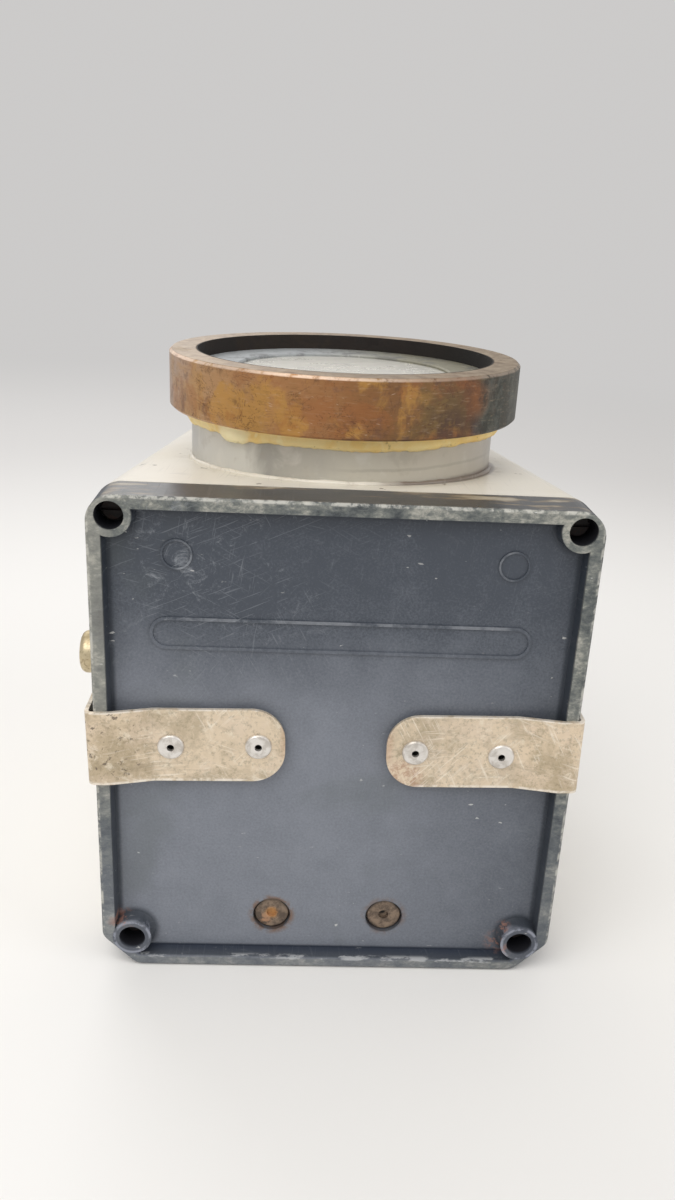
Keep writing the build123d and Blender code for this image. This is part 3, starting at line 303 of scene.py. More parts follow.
def cover_rim(paint, x, y, z, shaded_walls, rim, grit):
    """Painted shade and grime on the side walls, mottled rim and bosses with painted highlights on the
    lower bosses' lips, a pale line of painted highlight and wear along the outer edge, and painted
    shade in the channel along the foot.
    """
    side = abs(x)
    outer = paint.step(y, FACE + 0.0025, FACE + 0.0008)
    # Painted shade, with some grime, darkening the side walls of the recess.
    paint.over((0.020, 0.026, 0.036), shaded_walls * paint.step(y, FACE, FACE + 0.0012) * 0.80)
    tone = paint.patches(0.35, 0.65, 70, 4, 0.6) * 0.22 + grit * 0.8
    mottled = paint.ramp(tone, [
        (0.28, (0.030, 0.036, 0.042)), (0.42, (0.085, 0.095, 0.095)), (0.56, (0.17, 0.18, 0.165)),
        (0.72, (0.40, 0.39, 0.34))])
    paint.over(mottled, rim * (0.50 + 0.45 * paint.step(z, 0.03, 0.09)))
    upper_left = paint.step(x, -0.066, -0.070) * paint.step(z, 0.05, 0.09)
    paint.over((0.36, 0.35, 0.31), rim * upper_left * 0.35)
    paint.over((0.060, 0.068, 0.092), boss_discs(paint, LOWER_BOSSES, FACE, 0.0062, 0.0067) * 0.7)
    for place in LOWER_BOSSES:
        lip_highlight = paint.column(x, z, place, 0.0062, 0.0066) - paint.column(x, z, place, 0.0052, 0.0058)
        lit = lip_highlight * paint.step(y, FACE + 0.0040, FACE + 0.0020) * paint.patches(0.42, 0.55, 200, 4, 0.7)
        paint.over((0.36, 0.38, 0.45), (lit | 0.0) * 0.6)
    # Painted highlight, broken up like wear, along the outer edge of the rim.
    outline = (paint.step(side, 0.0738, 0.0744) | paint.step(z, 0.1618, 0.1624)) * outer
    paint.over((0.55, 0.54, 0.49), outline * paint.patches(0.42, 0.60, 300, 4, 0.7) * 0.75)
    foot = paint.step(z, 0.0044, 0.0036) * paint.step(z, 0.0026, 0.0034) * outer
    chipped = paint.patches(0.50, 0.60, 240, 4, 0.7, stretch=(0.4, 1, 1))
    paint.over((0.50, 0.51, 0.52), foot * chipped * 0.7)
    # Painted shade in the channel along the foot of the recess.
    channel_shade = (paint.step(z, 0.0052, 0.0046) * paint.step(z, 0.0036, 0.0042)
               * paint.step(side, 0.066, 0.062))
    paint.over((0.018, 0.026, 0.045), channel_shade * 0.85)


def cover_scuffs(paint, x, y, z, film):
    """Lit ridge of the empty frame, scratches, smudges and pale specks on the field."""
    ridge = (paint.step(y, FACE + 0.00465, FACE + 0.00455)
             * paint.step(y, FACE + 0.00425, FACE + 0.00445))
    frame_top = paint.step(z, 0.1179, 0.1183) * paint.step(abs(x), 0.052, 0.049)
    paint.over((0.50, 0.52, 0.55), ridge * frame_top * paint.step(film, 0.35, 0.55) * 0.22)
    upper_left = paint.near((-0.040, FACE + 0.005, 0.140), 0.012, 0.050)
    scuffs = soft_marks(paint, (-14, 24, 52, 81, 118, 151))
    paint.over((0.46, 0.49, 0.53), scuffs * (upper_left * 0.13 + 0.04))
    smudge = paint.patches(0.53, 0.72, 120, 7, 0.86, 0.8) * (upper_left + 0.16)
    paint.over((0.30, 0.32, 0.35), smudge * 0.60)
    specks = paint.patches(0.70, 0.75, 620, 2, 0.6, 0.0, stretch=(0.5, 1, 1))
    paint.over((0.62, 0.62, 0.60), specks * paint.patches(0.48, 0.66, 40, 2, 0.5) * 0.7)
    return scuffs


def cover_stains(paint, y):
    """Brown stains at the plugs with painted shade in the cups round them, and rust at the foot."""
    for across, strength in ((-PLUG_ACROSS, 0.85), (PLUG_ACROSS, 0.45)):
        place = (across, FACE + 0.0055, PLUG_UP)
        stain = paint.patches(0.42, 0.58, 210, 5, 0.7, 0.3, shift=(across * 40, 0, 0))
        paint.over((0.17, 0.095, 0.055), paint.near(place, 0.0064, 0.0086) * stain * strength)
        # Painted shade on the cup floor round each plug.
        cup_shade = paint.near(place, 0.0060, 0.0068) * paint.step(y, FACE + 0.0047, FACE + 0.0051)
        paint.over((0.035, 0.036, 0.040), cup_shade * 0.75)
    rust = paint.patches(0.50, 0.58, 260, 5, 0.72, 0.4)
    for place, reach in (((-0.0690, -0.076, 0.0165), 0.0055), ((0.0585, -0.075, 0.0085), 0.0060),
                         ((0.0600, -0.075, 0.0150), 0.0035)):
        paint.over((0.40, 0.19, 0.13), paint.near(place, reach * 0.35, reach) * rust * 0.55)


def cover_moulding(colours):
    paint = Finish("cover_moulding", Specular_IOR_Level=0.45)
    x, y, z = paint.axes()
    film = paint.grain(85, 6, 0.66, 0.3)
    fine = paint.grain(1300, 3, 0.7)
    grit = paint.grain(520, 5, 0.75, 0.2, stretch=(0.6, 1, 1))
    edge = face_band(paint, abs(x), z, (0.0702, 0.0710), (0.1588, 0.1594),
                     (0.0038, 0.0032), (0.0594, 0.0600))
    edge = edge | boss_discs(paint, CORNER_BOSSES, FACE, 0.0062, 0.0067)
    shaded_walls = face_band(paint, abs(x), z, (0.0680, 0.0696), (0.1560, 0.1585),
                      (0.0058, 0.0042), (0.0570, 0.0590))
    shaded_walls = shaded_walls | boss_discs(paint, CORNER_BOSSES, FACE + 0.004, 0.0068, 0.0095)
    rim = edge * paint.step(y, FACE + 0.0012, FACE + 0.0004)
    dust_and_light = cover_dust(paint, colours, x, z, film, fine)
    cover_rim(paint, x, y, z, shaded_walls, rim, grit)
    scuffs = cover_scuffs(paint, x, y, z, film)
    cover_stains(paint, y)
    upper = paint.step(z, 0.1618, 0.1626) * paint.step(y, FACE + 0.0005, FACE + 0.0015)
    wet = paint.grain(70, 4, 0.6, 0.2, stretch=(0.55, 2.2, 1))
    paint.over((0.055, 0.056, 0.058), upper * 0.8)
    paint.over((0.30, 0.22, 0.12), upper * paint.step(wet, 0.52, 0.62) * 0.55)
    paint.over((0.66, 0.61, 0.50), upper * paint.step(wet, 0.58, 0.68) * 0.42)
    # Painted shade deep in the corner bosses' holes.
    bore_shade = paint.step(y, FACE + 0.0002, FACE + 0.0018)
    for place in CORNER_BOSSES:
        paint.over((0.012, 0.012, 0.016), paint.column(x, z, place, 0.0044, 0.0047) * bore_shade * 0.93)
    paint.bump(fine, 0.00006, 0.6)
    paint.bump(film, 0.0002, 0.3)
    paint.bump(scuffs, -0.00008, 0.4)
    paint.bump(grit * rim, 0.0002, 0.5)
    paint.wear(Roughness=0.36 + film * 0.16 + rim * 0.12 - upper * 0.24 + dust_and_light * 0.08 + shaded_walls * 0.1)


def case_paint(colours):
    paint = Finish("case_paint", Coat_Roughness=0.12, Specular_IOR_Level=0.5)
    x, y, z = paint.axes()
    cloud = paint.grain(14, 4, 0.6, 0.5)
    grime = paint.grain(60, 5, 0.65, 1.2)
    paint.base = paint.mix(colours.case_paint, (0.70, 0.64, 0.50), paint.step(cloud, 0.45, 0.75) * 0.55)
    low = paint.step(z + (grime - 0.5) * 0.02, 0.016, 0.001)
    paint.over((0.36, 0.31, 0.24), low * 0.5)
    crease = paint.near((0.0, 0.0, 0.160), 0.0535, 0.060)
    collar = paint.step(z, 0.150, 0.153) * crease
    paint.over((0.34, 0.27, 0.18), collar * paint.step(grime, 0.48, 0.68) * 0.55)
    spread = paint.from_axis(x, y)
    line = (paint.step(spread, neck_high.x + 0.0030, neck_high.x + 0.0012) * paint.step(z, 0.152, 0.155)
            * paint.step(x + (grime - 0.5) * 0.02, 0.004, 0.020))
    paint.over((0.13, 0.085, 0.055), line * 0.85)
    chips = paint.patches(0.69, 0.72, 170, 3, 0.6, 0.2)
    paint.over((0.16, 0.12, 0.09), chips * 0.8)
    marks = soft_marks(paint, (0, 80, 140))
    paint.over((0.52, 0.50, 0.45), marks * 0.35)
    paint.bump(paint.grain(260, 3, 0.5), 0.00006, 0.6)
    paint.bump(chips, -0.0002, 0.6)
    paint.wear(Roughness=0.30 + grime * 0.2 + low * 0.2, Coat_Weight=0.4 - low * 0.3)


def neck_paint():
    paint = Finish("neck_paint", Coat_Roughness=0.2)
    x, y, z = paint.axes()
    turn = paint.bearing(x, y)
    smear = paint.grain(42, 5, 0.6, 0.4, stretch=(1, 1, 0.6))
    drift = paint.grain(110, 4, 0.6, 0.3)
    # Round the neck: painted light on the left front and painted shade towards both side edges, with a
    # darker smear just left of the front.
    around = turn / (2 * pi) + 0.5 + (smear - 0.5) * 0.16 + (z - 0.168) * 1.2
    paint.base = paint.ramp(around, [
        (0.0, (0.46, 0.44, 0.39)), (0.27, (0.42, 0.41, 0.38)), (0.33, (0.58, 0.57, 0.53)),
        (0.385, (0.60, 0.59, 0.54)), (0.415, (0.33, 0.32, 0.29)), (0.45, (0.43, 0.41, 0.36)),
        (0.52, (0.54, 0.51, 0.43)), (0.60, (0.49, 0.45, 0.375)), (0.68, (0.43, 0.39, 0.33)),
        (0.74, (0.30, 0.28, 0.24)), (0.80, (0.42, 0.39, 0.34)), (1.0, (0.46, 0.44, 0.39))])
    paint.over((0.68, 0.66, 0.60), paint.step(drift, 0.54, 0.72) * 0.40)
    paint.over((0.33, 0.29, 0.23), paint.step(drift, 0.46, 0.32) * 0.30)
    band = (paint.step(abs(z - 0.1668 + (smear - 0.5) * 0.003), 0.0007, 0.0002)
            * paint.step(x, -0.01, 0.01))
    paint.over((0.30, 0.27, 0.22), band * 0.35)
    foot = paint.step(z + (smear - 0.5) * 0.003, 0.1632, 0.1612) * paint.step(x, 0.005, 0.03)
    paint.over((0.10, 0.065, 0.045), foot * 0.75)
    paint.bump(smear, 0.0005, 0.5)
    paint.bump(drift, 0.0001, 0.5)
    paint.wear(Roughness=0.28 + smear * 0.22, Coat_Weight=0.25 + drift * 0.2)


def seal_putty(colours):
    paint = Finish("seal_putty", Subsurface_Weight=0.08)
    x = paint.axes()[0]
    lumps = paint.grain(180, 4, 0.6, 0.4)
    stain = paint.grain(48, 4, 0.6, 0.4)
    paint.base = paint.mix(colours.putty, (0.88, 0.53, 0.13), paint.step(stain, 0.42, 0.64) * 0.75)
    paint.over((0.97, 0.84, 0.50), paint.step(lumps, 0.50, 0.70) * 0.6)
    warm = paint.step(x, -0.020, 0.030) * paint.step(lumps, 0.36, 0.56)
    paint.over((0.90, 0.60, 0.18), warm * 0.5)
    pale = paint.near((-0.0365, -0.0425, 0.1725), 0.004, 0.008)
    paint.over((0.97, 0.86, 0.56), pale * 0.8)
    dirt = paint.patches(0.62, 0.72, 330, 3, 0.7)
    paint.over((0.30, 0.18, 0.07), dirt * 0.55)
    paint.bump(lumps, 0.0006, 0.7)
    paint.wear(Roughness=0.42 + lumps * 0.2)


def bezel_patina(paint, x, turn, blot, fleck):
    """Brown round the ring, under patches of gold, copper, olive and purple."""
    right = paint.step(x, 0.006, 0.030)
    left = paint.step(x, 0.034, 0.012) * paint.step(x, -0.052, -0.038)
    around = turn / (2 * pi) + 0.5 + (blot - 0.5) * 0.05 + (fleck - 0.5) * 0.012
    paint.base = paint.ramp(around, [
        (0.0, (0.30, 0.16, 0.07)), (0.20, (0.30, 0.20, 0.13)), (0.26, (0.40, 0.31, 0.25)),
        (0.32, (0.52, 0.35, 0.24)), (0.37, (0.52, 0.31, 0.155)), (0.45, (0.42, 0.21, 0.09)),
        (0.51, (0.30, 0.145, 0.060)), (0.56, (0.21, 0.115, 0.055)), (0.60, (0.17, 0.080, 0.040)),
        (0.620, (0.10, 0.060, 0.040)), (0.64, (0.055, 0.055, 0.046)), (0.73, (0.080, 0.084, 0.072)),
        (0.78, (0.20, 0.13, 0.08)), (1.0, (0.30, 0.16, 0.07))])
    gold = paint.grain(58, 5, 0.60, 0.4, shift=(1.3, 2.1, 0.9))
    gold = gold + paint.near((-0.022, -0.055, 0.1805), 0.004, 0.015) * 0.09
    gold = gold + paint.near((-0.036, -0.046, 0.1870), 0.003, 0.011) * 0.06
    paint.over((0.56, 0.30, 0.080), paint.step(gold, 0.475, 0.56) * (left * 0.40 + 0.36 - right * 0.16))
    copper = paint.patches(0.50, 0.62, 95, 5, 0.65, 0.3, shift=(0.3, 0.1, 0.2))
    paint.over((0.37, 0.14, 0.05), copper * 0.42)
    olive = paint.patches(0.48, 0.60, 70, 5, 0.6, 0.3, shift=(3.1, 0.4, 1.9))
    paint.over((0.14, 0.115, 0.050), olive * (0.08 + 0.42 * right))
    brown = paint.patches(0.52, 0.66, 120, 6, 0.72, 0.3, shift=(7.0, 1.0, 3.0))
    paint.over((0.15, 0.075, 0.045), brown * 0.55)
    threads = paint.grain(75, 5, 0.7, 1.2, stretch=(1, 1, 1.5), shift=(2.0, 6.0, 1.0))
    seams = paint.step(abs(threads - 0.5), 0.012, 0.004) * paint.step(blot, 0.40, 0.55)
    paint.over((0.10, 0.045, 0.030), seams * 0.55)
    purple = paint.patches(0.57, 0.67, 80, 5, 0.7, 0.3, shift=(5.0, 1.0, 0.0))
    paint.over((0.085, 0.045, 0.050), purple * (0.35 + right * 0.35))
    return left, right, purple


def bezel_marks(paint, z, turn, blot, fleck, left):
    """Soot on the right, two spots, freckles, lathe lines and scratches."""
    smoky = paint.step(turn + (blot - 0.5) * 0.35, 0.70, 0.82) * paint.step(turn, 2.4, 2.0)
    soot = paint.mix((0.048, 0.052, 0.044), (0.115, 0.120, 0.105), paint.step(fleck, 0.42, 0.62))
    paint.over(soot, smoky * 0.85)
    shade = paint.near((0.0300, -0.0515, 0.1790), 0.003, 0.011) * paint.step(fleck, 0.36, 0.56)
    paint.over((0.075, 0.040, 0.042), shade * 0.7)
    orange = paint.near((0.0395, -0.0450, 0.1885), 0.002, 0.008) * paint.step(fleck, 0.35, 0.6)
    paint.over((0.38, 0.15, 0.05), orange * 0.4)
    freckles = paint.patches(0.64, 0.70, 620, 3, 0.7) * paint.step(blot, 0.42, 0.6)
    paint.over((0.05, 0.032, 0.02), freckles * 0.6)
    unrolled = paint.node("ShaderNodeCombineXYZ", {}, {0: turn * 0.55, 1: 0.0, 2: z * 60.0})
    lathe = paint.grain(22.0, 4.0, 0.65, source=unrolled)
    paint.over((0.62, 0.46, 0.30), paint.step(lathe, 0.52, 0.78) * 0.32)
    paint.over((0.10, 0.055, 0.03), paint.step(lathe, 0.46, 0.28) * 0.34)
    scratches = []
    for number, slope in enumerate((0.10, -0.16, 0.30)):
        drawn = paint.node("ShaderNodeCombineXYZ", {}, {0: turn * 0.30 + number * 3.0, 1: number * 1.7,
                                                       2: z * 22.0 + turn * slope})
        scratches.append(paint.patches(0.72, 0.78, 60.0, 1.0, 0.5, source=drawn))
    paint.over((0.74, 0.60, 0.44), any_of(scratches) * (0.12 + 0.60 * left) * 0.5)
    return lathe


def bezel_brass():
    paint = Finish("bezel_brass", Specular_IOR_Level=0.5)
    x, y, z = paint.axes()
    turn = paint.bearing(x, y)
    blot = paint.grain(46, 5, 0.62, 0.35)
    fleck = paint.grain(210, 6, 0.72, 0.2)
    left, right, purple = bezel_patina(paint, x, turn, blot, fleck)
    lathe = bezel_marks(paint, z, turn, blot, fleck, left)
    spread = paint.from_axis(x, y)
    # Painted highlight along the front of the bezel's lip, weaker on the right.
    lip_highlight = paint.step(spread, 0.0586, 0.0592) * paint.step(z, 0.1944, 0.1950)
    paint.over((0.70, 0.55, 0.43), lip_highlight * paint.step(fleck, 0.36, 0.52) * (1 - right * 0.55) * 0.85)
    tops = paint.ramp(fleck, [(0.3, (0.16, 0.10, 0.06)), (0.5, (0.33, 0.25, 0.17)),
                              (0.7, (0.46, 0.38, 0.28))])
    paint.over(tops, paint.step(z, 0.19545, 0.19558) * 0.9)
    # Painted shade, near black, on the bezel's inner wall.
    inside = paint.step(spread, 0.0513, 0.0506)
    paint.over((0.007, 0.006, 0.006), inside * 0.97)
    paint.bump(fleck, 0.00025, 0.6)
    paint.bump(blot, 0.0006, 0.3)
    paint.bump(lathe, 0.00006, 0.6)
    paint.wear(Roughness=0.30 + fleck * 0.22 + purple * 0.15 + right * 0.1 + inside * 0.35,
               Metallic=0.80 - purple * 0.25 - right * 0.15 - inside * 0.6)


def ring_metal():
    paint = Finish("ring_metal")
    x = paint.axes()[0]
    cloud = paint.grain(110, 6, 0.72, 0.4)
    paint.base = paint.mix((0.38, 0.40, 0.41), (0.24, 0.225, 0.165), paint.step(x, -0.02, 0.035))
    paint.over((0.13, 0.13, 0.13), paint.step(cloud, 0.48, 0.64) * 0.65)
    flecks = paint.patches(0.60, 0.70, 420, 4, 0.75)
    paint.over((0.70, 0.70, 0.68), flecks * 0.45)
    paint.bump(cloud, 0.0003, 0.6)
    paint.wear(Roughness=0.42 + cloud * 0.25, Metallic=0.30 - flecks * 0.2)


def strap_metal(colours):
    paint = Finish("strap_metal")
    x, y, z = paint.axes()
    cloud = paint.grain(62, 6, 0.66, 0.3)
    streak = paint.grain(130, 5, 0.7, 0.2, stretch=(0.22, 1, 1.6))
    fine = paint.grain(700, 5, 0.75)
    paint.base = paint.mix(colours.strap, (0.44, 0.355, 0.235), paint.step(cloud, 0.42, 0.62) * 0.75)
    pink = paint.grain(80, 5, 0.62, 0.3, shift=(2, 1, 4))
    paint.over((0.74, 0.61, 0.48), paint.step(pink, 0.48, 0.62) * 0.45)
    paint.over((0.30, 0.245, 0.165), paint.step(streak, 0.54, 0.68) * 0.42)
    paint.over((0.86, 0.78, 0.64), paint.patches(0.53, 0.66, 260, 6, 0.78, 0.3) * 0.55)
    paint.over((0.27, 0.22, 0.14), paint.step(fine, 0.50, 0.66) * 0.50)
    grime = paint.patches(0.50, 0.66, 150, 7, 0.80, 0.3, shift=(5, 2, 1))
    paint.over((0.36, 0.29, 0.19), grime * 0.45)
    bend = paint.step(x, -0.052, -0.069)
    pits = paint.step(paint.grain(430, 5, 0.72, 0.4) + bend * 0.07, 0.655, 0.70) * (0.45 + bend * 0.55)
    paint.over((0.13, 0.10, 0.075), pits * 0.8)
    right = paint.step(x, -0.001, 0.001)
    lower = right * (STRAP_RIGHT[0] - STRAP_LEFT[0]) + STRAP_LEFT[0]
    slope = right * (STRAP_RIGHT[1] - STRAP_LEFT[1]) + STRAP_LEFT[1]
    height = z - lower - slope * (cover_high.x - abs(x))
    # Pale lines along the straps' top and bottom edges: wear and painted highlight.
    nick = paint.patches(0.36, 0.56, 240, 4, 0.7)
    rims = (paint.step(height, 0.0011, 0.0005) | paint.step(height, 0.0243, 0.0248)) * nick
    paint.over((0.90, 0.84, 0.75), rims * 0.75)
    nose = paint.step(abs(x), 0.0185, 0.0165)
    paint.over((0.50, 0.28, 0.17), nose * paint.step(cloud, 0.36, 0.56) * 0.45)
    corner = paint.near((0.0215, -0.0765, 0.0735), 0.004, 0.008) * right
    paint.over((0.45, 0.24, 0.15), corner * paint.step(fine, 0.40, 0.56) * 0.6)
    leg = paint.step(y, FACE + 0.0010, FACE + 0.0035)
    paint.over((0.62, 0.58, 0.50), leg * 0.4)
    marks = soft_marks(paint, (6, 48, 118, 160), 2000, 0.05, 0.63, 60)
    paint.over((0.92, 0.86, 0.76), marks * 0.45)
    paint.bump(fine, 0.00015, 0.7)
    paint.bump(pits, -0.0002, 0.7)
    paint.bump(cloud, 0.0005, 0.4)
    paint.wear(Roughness=0.40 + cloud * 0.15 + pits * 0.2, Metallic=0.50 - pits * 0.35)


def rivet_alloy():
    paint = Finish("rivet_alloy")
    y = paint.axes()[1]
    cloud = paint.grain(260, 4, 0.6, 0.8)
    paint.base = paint.mix((0.76, 0.73, 0.69), (0.50, 0.46, 0.41), paint.step(cloud, 0.42, 0.64) * 0.8)
    # Painted shade deep in the rivet's hollow, also taking its metal look away.
    bore_shade = paint.step(y, FACE + 0.0016, FACE + 0.0021)
    paint.over((0.02, 0.018, 0.015), bore_shade)
    paint.bump(paint.grain(700, 3, 0.6), 0.0001, 0.6)
    paint.wear(Roughness=0.32 + cloud * 0.2, Metallic=0.75 - bore_shade * 0.7)


def aged_metal(name, tones, scale, rough, metal, stain, amount, relief=0.0001):
    """Metal with two clouded tones and stains."""
    paint = Finish(name)
    cloud = paint.grain(scale, 4, 0.6, 0.8)
    spots = paint.grain(scale * 3.1, 4, 0.68, 0.6, shift=(1.1, 0.4, 2.2))
    paint.base = paint.mix(tones[0], tones[1], paint.step(cloud, 0.38, 0.66))
    mask = paint.step(spots, 0.52, 0.68) * amount
    paint.over(stain, mask)
    paint.bump(spots, relief, 0.6)
    paint.wear(Roughness=rough + cloud * 0.18 + mask * 0.2,
               Metallic=metal - mask * 0.3)


def plug_brass():
    """Stained plugs in the cover, dark at the edge, one with a bright rusted middle."""
    paint = Finish("plug_brass")
    x, _, z = paint.axes()
    cloud = paint.grain(330, 5, 0.72, 0.3)
    paint.base = paint.mix((0.115, 0.085, 0.065), (0.27, 0.20, 0.145), paint.step(cloud, 0.38, 0.62))
    middle = paint.near((-0.019, -0.0716, 0.0176), 0.0012, 0.0030) * paint.step(cloud, 0.34, 0.5)
    paint.over((0.60, 0.29, 0.08), middle * 0.75)
    left = paint.near((-0.0215, -0.0716, 0.0150), 0.0010, 0.0034) * paint.step(cloud, 0.42, 0.54)
    paint.over((0.45, 0.25, 0.14), left * 0.8)
    # Painted shade in the small hole of the right-hand plug.
    pin_hole_shade = paint.near((0.0186, -0.0714, 0.0182), 0.0008, 0.0016)
    paint.over((0.012, 0.010, 0.010), pin_hole_shade)
    rims = paint.step(abs(abs(x) - PLUG_ACROSS) + abs(z - PLUG_UP), 0.0055, 0.0085)
    paint.over((0.035, 0.030, 0.028), rims * 0.7)
    paint.bump(cloud, 0.0003, 0.8)
    paint.wear(Roughness=0.46 + cloud * 0.2, Metallic=0.45 - middle * 0.4)


def turned_metal(name, tone, shade, rough):
    """Fine graining round the upright axis, with no metallic look."""
    paint = Finish(name)
    x, y, _ = paint.axes()
    rings = paint.node("ShaderNodeTexNoise", {"noise_dimensions": "1D"},
                       {"W": paint.from_axis(x, y) * 1000.0, "Scale": 3.5, "Detail": 3.0})
    cloud = paint.grain(90, 3, 0.5, 0.4)
    dark = paint.step(rings, 0.35, 0.65) * 0.35 + paint.step(cloud, 0.5, 0.8) * 0.3
    paint.base = paint.mix(tone, shade, dark)
    paint.bump(rings, 0.00003, 0.5)
    paint.wear(Roughness=rough + rings * 0.12 + cloud * 0.08)


def plain_soft(name, tone, shade, scale, rough, relief):
    """Rubber, leather and enamel: two close tones over a fine grain."""
    paint = Finish(name)
    cloud = paint.grain(scale, 5, 0.6, 0.4)
    pores = paint.node("ShaderNodeTexVoronoi", {}, {"Vector": paint.place, "Scale": scale * 9})
    paint.base = paint.mix(tone, shade, paint.step(cloud, 0.4, 0.7))
    paint.bump(pores, relief, 0.5)
    paint.wear(Roughness=rough + cloud * 0.15)


def crystal_glass():
    """Old crystal with a pale haze over clear glass."""
    paint = Finish("crystal_glass", Transmission_Weight=0.5, IOR=1.5)
    film = paint.grain(60, 5, 0.7, 0.4)
    smear = paint.patches(0.42, 0.72, 34, 4, 0.6, 0.6, stretch=(0.5, 1, 1))
    paint.base = paint.mix((0.95, 0.93, 0.86), (0.86, 0.84, 0.76), smear * 0.7 + film * 0.2)
    paint.wear(Roughness=0.22 + film * 0.10 + smear * 0.10)


def clouded(name, tone, shade, grain, rough, spread, **constants):
    """Two close tones and a roughness that follow one grain."""
    paint = Finish(name, **constants)
    cloud = paint.grain(*grain)
    paint.base = paint.mix(tone, shade, cloud)
    paint.wear(Roughness=rough + cloud * spread)


def make_finishes(colours):
    cover_moulding(colours)
    case_paint(colours)
    neck_paint()
    seal_putty(colours)
    bezel_brass()
    ring_metal()
    strap_metal(colours)
    rivet_alloy()
    plug_brass()
    aged_metal("gland_brass", ((0.60, 0.51, 0.34), (0.46, 0.37, 0.22)), 150, 0.34, 0.8,
               (0.20, 0.13, 0.07), 0.6)
    aged_metal("dull_steel", ((0.018, 0.016, 0.016), (0.030, 0.024, 0.022)), 220, 0.55, 0.3,
               (0.05, 0.022, 0.014), 0.7)
    aged_metal("polished_steel", ((0.70, 0.70, 0.72), (0.60, 0.61, 0.64)), 300, 0.12, 1.0,
               (0.45, 0.44, 0.43), 0.2)
    aged_metal("spring_steel", ((0.30, 0.33, 0.40), (0.22, 0.26, 0.36)), 260, 0.22, 1.0,
               (0.12, 0.10, 0.16), 0.3)
    aged_metal("blued_steel", ((0.035, 0.055, 0.19), (0.05, 0.05, 0.24)), 300, 0.2, 0.85,
               (0.08, 0.03, 0.14), 0.4)
    aged_metal("hand_blue", ((0.02, 0.035, 0.13), (0.035, 0.04, 0.18)), 220, 0.2, 0.8,
               (0.05, 0.03, 0.09), 0.3)
    turned_metal("movement_brass", (0.80, 0.60, 0.28), (0.66, 0.46, 0.19), 0.22)
    turned_metal("dial_silver", (0.74, 0.73, 0.69), (0.58, 0.57, 0.52), 0.34)
    plain_soft("dial_enamel", (0.84, 0.81, 0.70), (0.76, 0.71, 0.58), 60, 0.22, 0.00002)
    plain_soft("seal_rubber", (0.028, 0.028, 0.028), (0.05, 0.048, 0.045), 120, 0.6, 0.0001)
    plain_soft("pad_leather", (0.27, 0.15, 0.08), (0.16, 0.09, 0.05), 180, 0.55, 0.0002)
    clouded("dial_ink", (0.012, 0.012, 0.014), (0.035, 0.033, 0.03), (300, 3, 0.6), 0.4, 0.2,
            Specular_IOR_Level=0.3)
    clouded("jewel", (0.55, 0.02, 0.08), (0.70, 0.06, 0.16), (900, 2, 0.5), 0.04, 0.06,
            Transmission_Weight=0.6, IOR=1.76)
    crystal_glass()


# ---------------------------------------- mesh making
def kept_piece(name, mesh, slot, body, *replaced):
    """Link a finished mesh as a piece of the object."""
    piece = bpy.data.objects.new(name, mesh)
    bpy.context.scene.collection.objects.link(piece)
    if not mesh.materials:
        mesh.materials.append(finishes[slot])
    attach(piece, body)
    if replaced:
        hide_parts(*replaced)
    return piece


def ring_mesh(name, sections, smooth=True):
    """Closed ring through a list of equal sections, each a list of points."""
    count, around = len(sections), len(sections[0])
    vertices = [point for section in sections for point in section]
    faces = [(i * around + j, i * around + (j + 1) % around,
              (i + 1) % count * around + (j + 1) % around, (i + 1) % count * around + j)
             for i in range(count) for j in range(around)]
    mesh = bpy.data.meshes.new(name)
    mesh.from_pydata(vertices, [], faces)
    shell = bmesh.new()
    shell.from_mesh(mesh)
    bmesh.ops.recalc_face_normals(shell, faces=shell.faces)
    for face in shell.faces:
        face.smooth = smooth
    shell.to_mesh(mesh)
    shell.free()
    return mesh


def ripple(angle, scale, seed):
    """Smooth unevenness round a ring, about -1 to 1."""
    return noise.noise(Vector((cos(angle) * scale, sin(angle) * scale, seed * 7.3))) * 1.6


def section(profile, angle, centre=(0.0, 0.0)):
    """A profile of radii and heights, stood up at an angle round a centre."""
    return [(centre[0] + r * cos(angle), centre[1] + r * sin(angle), z) for r, z in profile]


def flat_band(name, inner, outer, low, high, centre, steps):
    profile = ((inner, low), (outer, low), (outer, high), (inner, high))
    turns = [2 * pi * index / steps for index in range(steps)]
    return ring_mesh(name, [section(profile, turn, centre) for turn in turns], False)


def joined(name, meshes, material):
    """One mesh from several, all with one material."""
    whole = bmesh.new()
    for mesh in meshes:
        whole.from_mesh(mesh)
        bpy.data.meshes.remove(mesh)
    made = bpy.data.meshes.new(name)
    whole.to_mesh(made)
    whole.free()
    made.materials.append(material)
    for face in made.polygons:
        face.material_index = 0
    return made


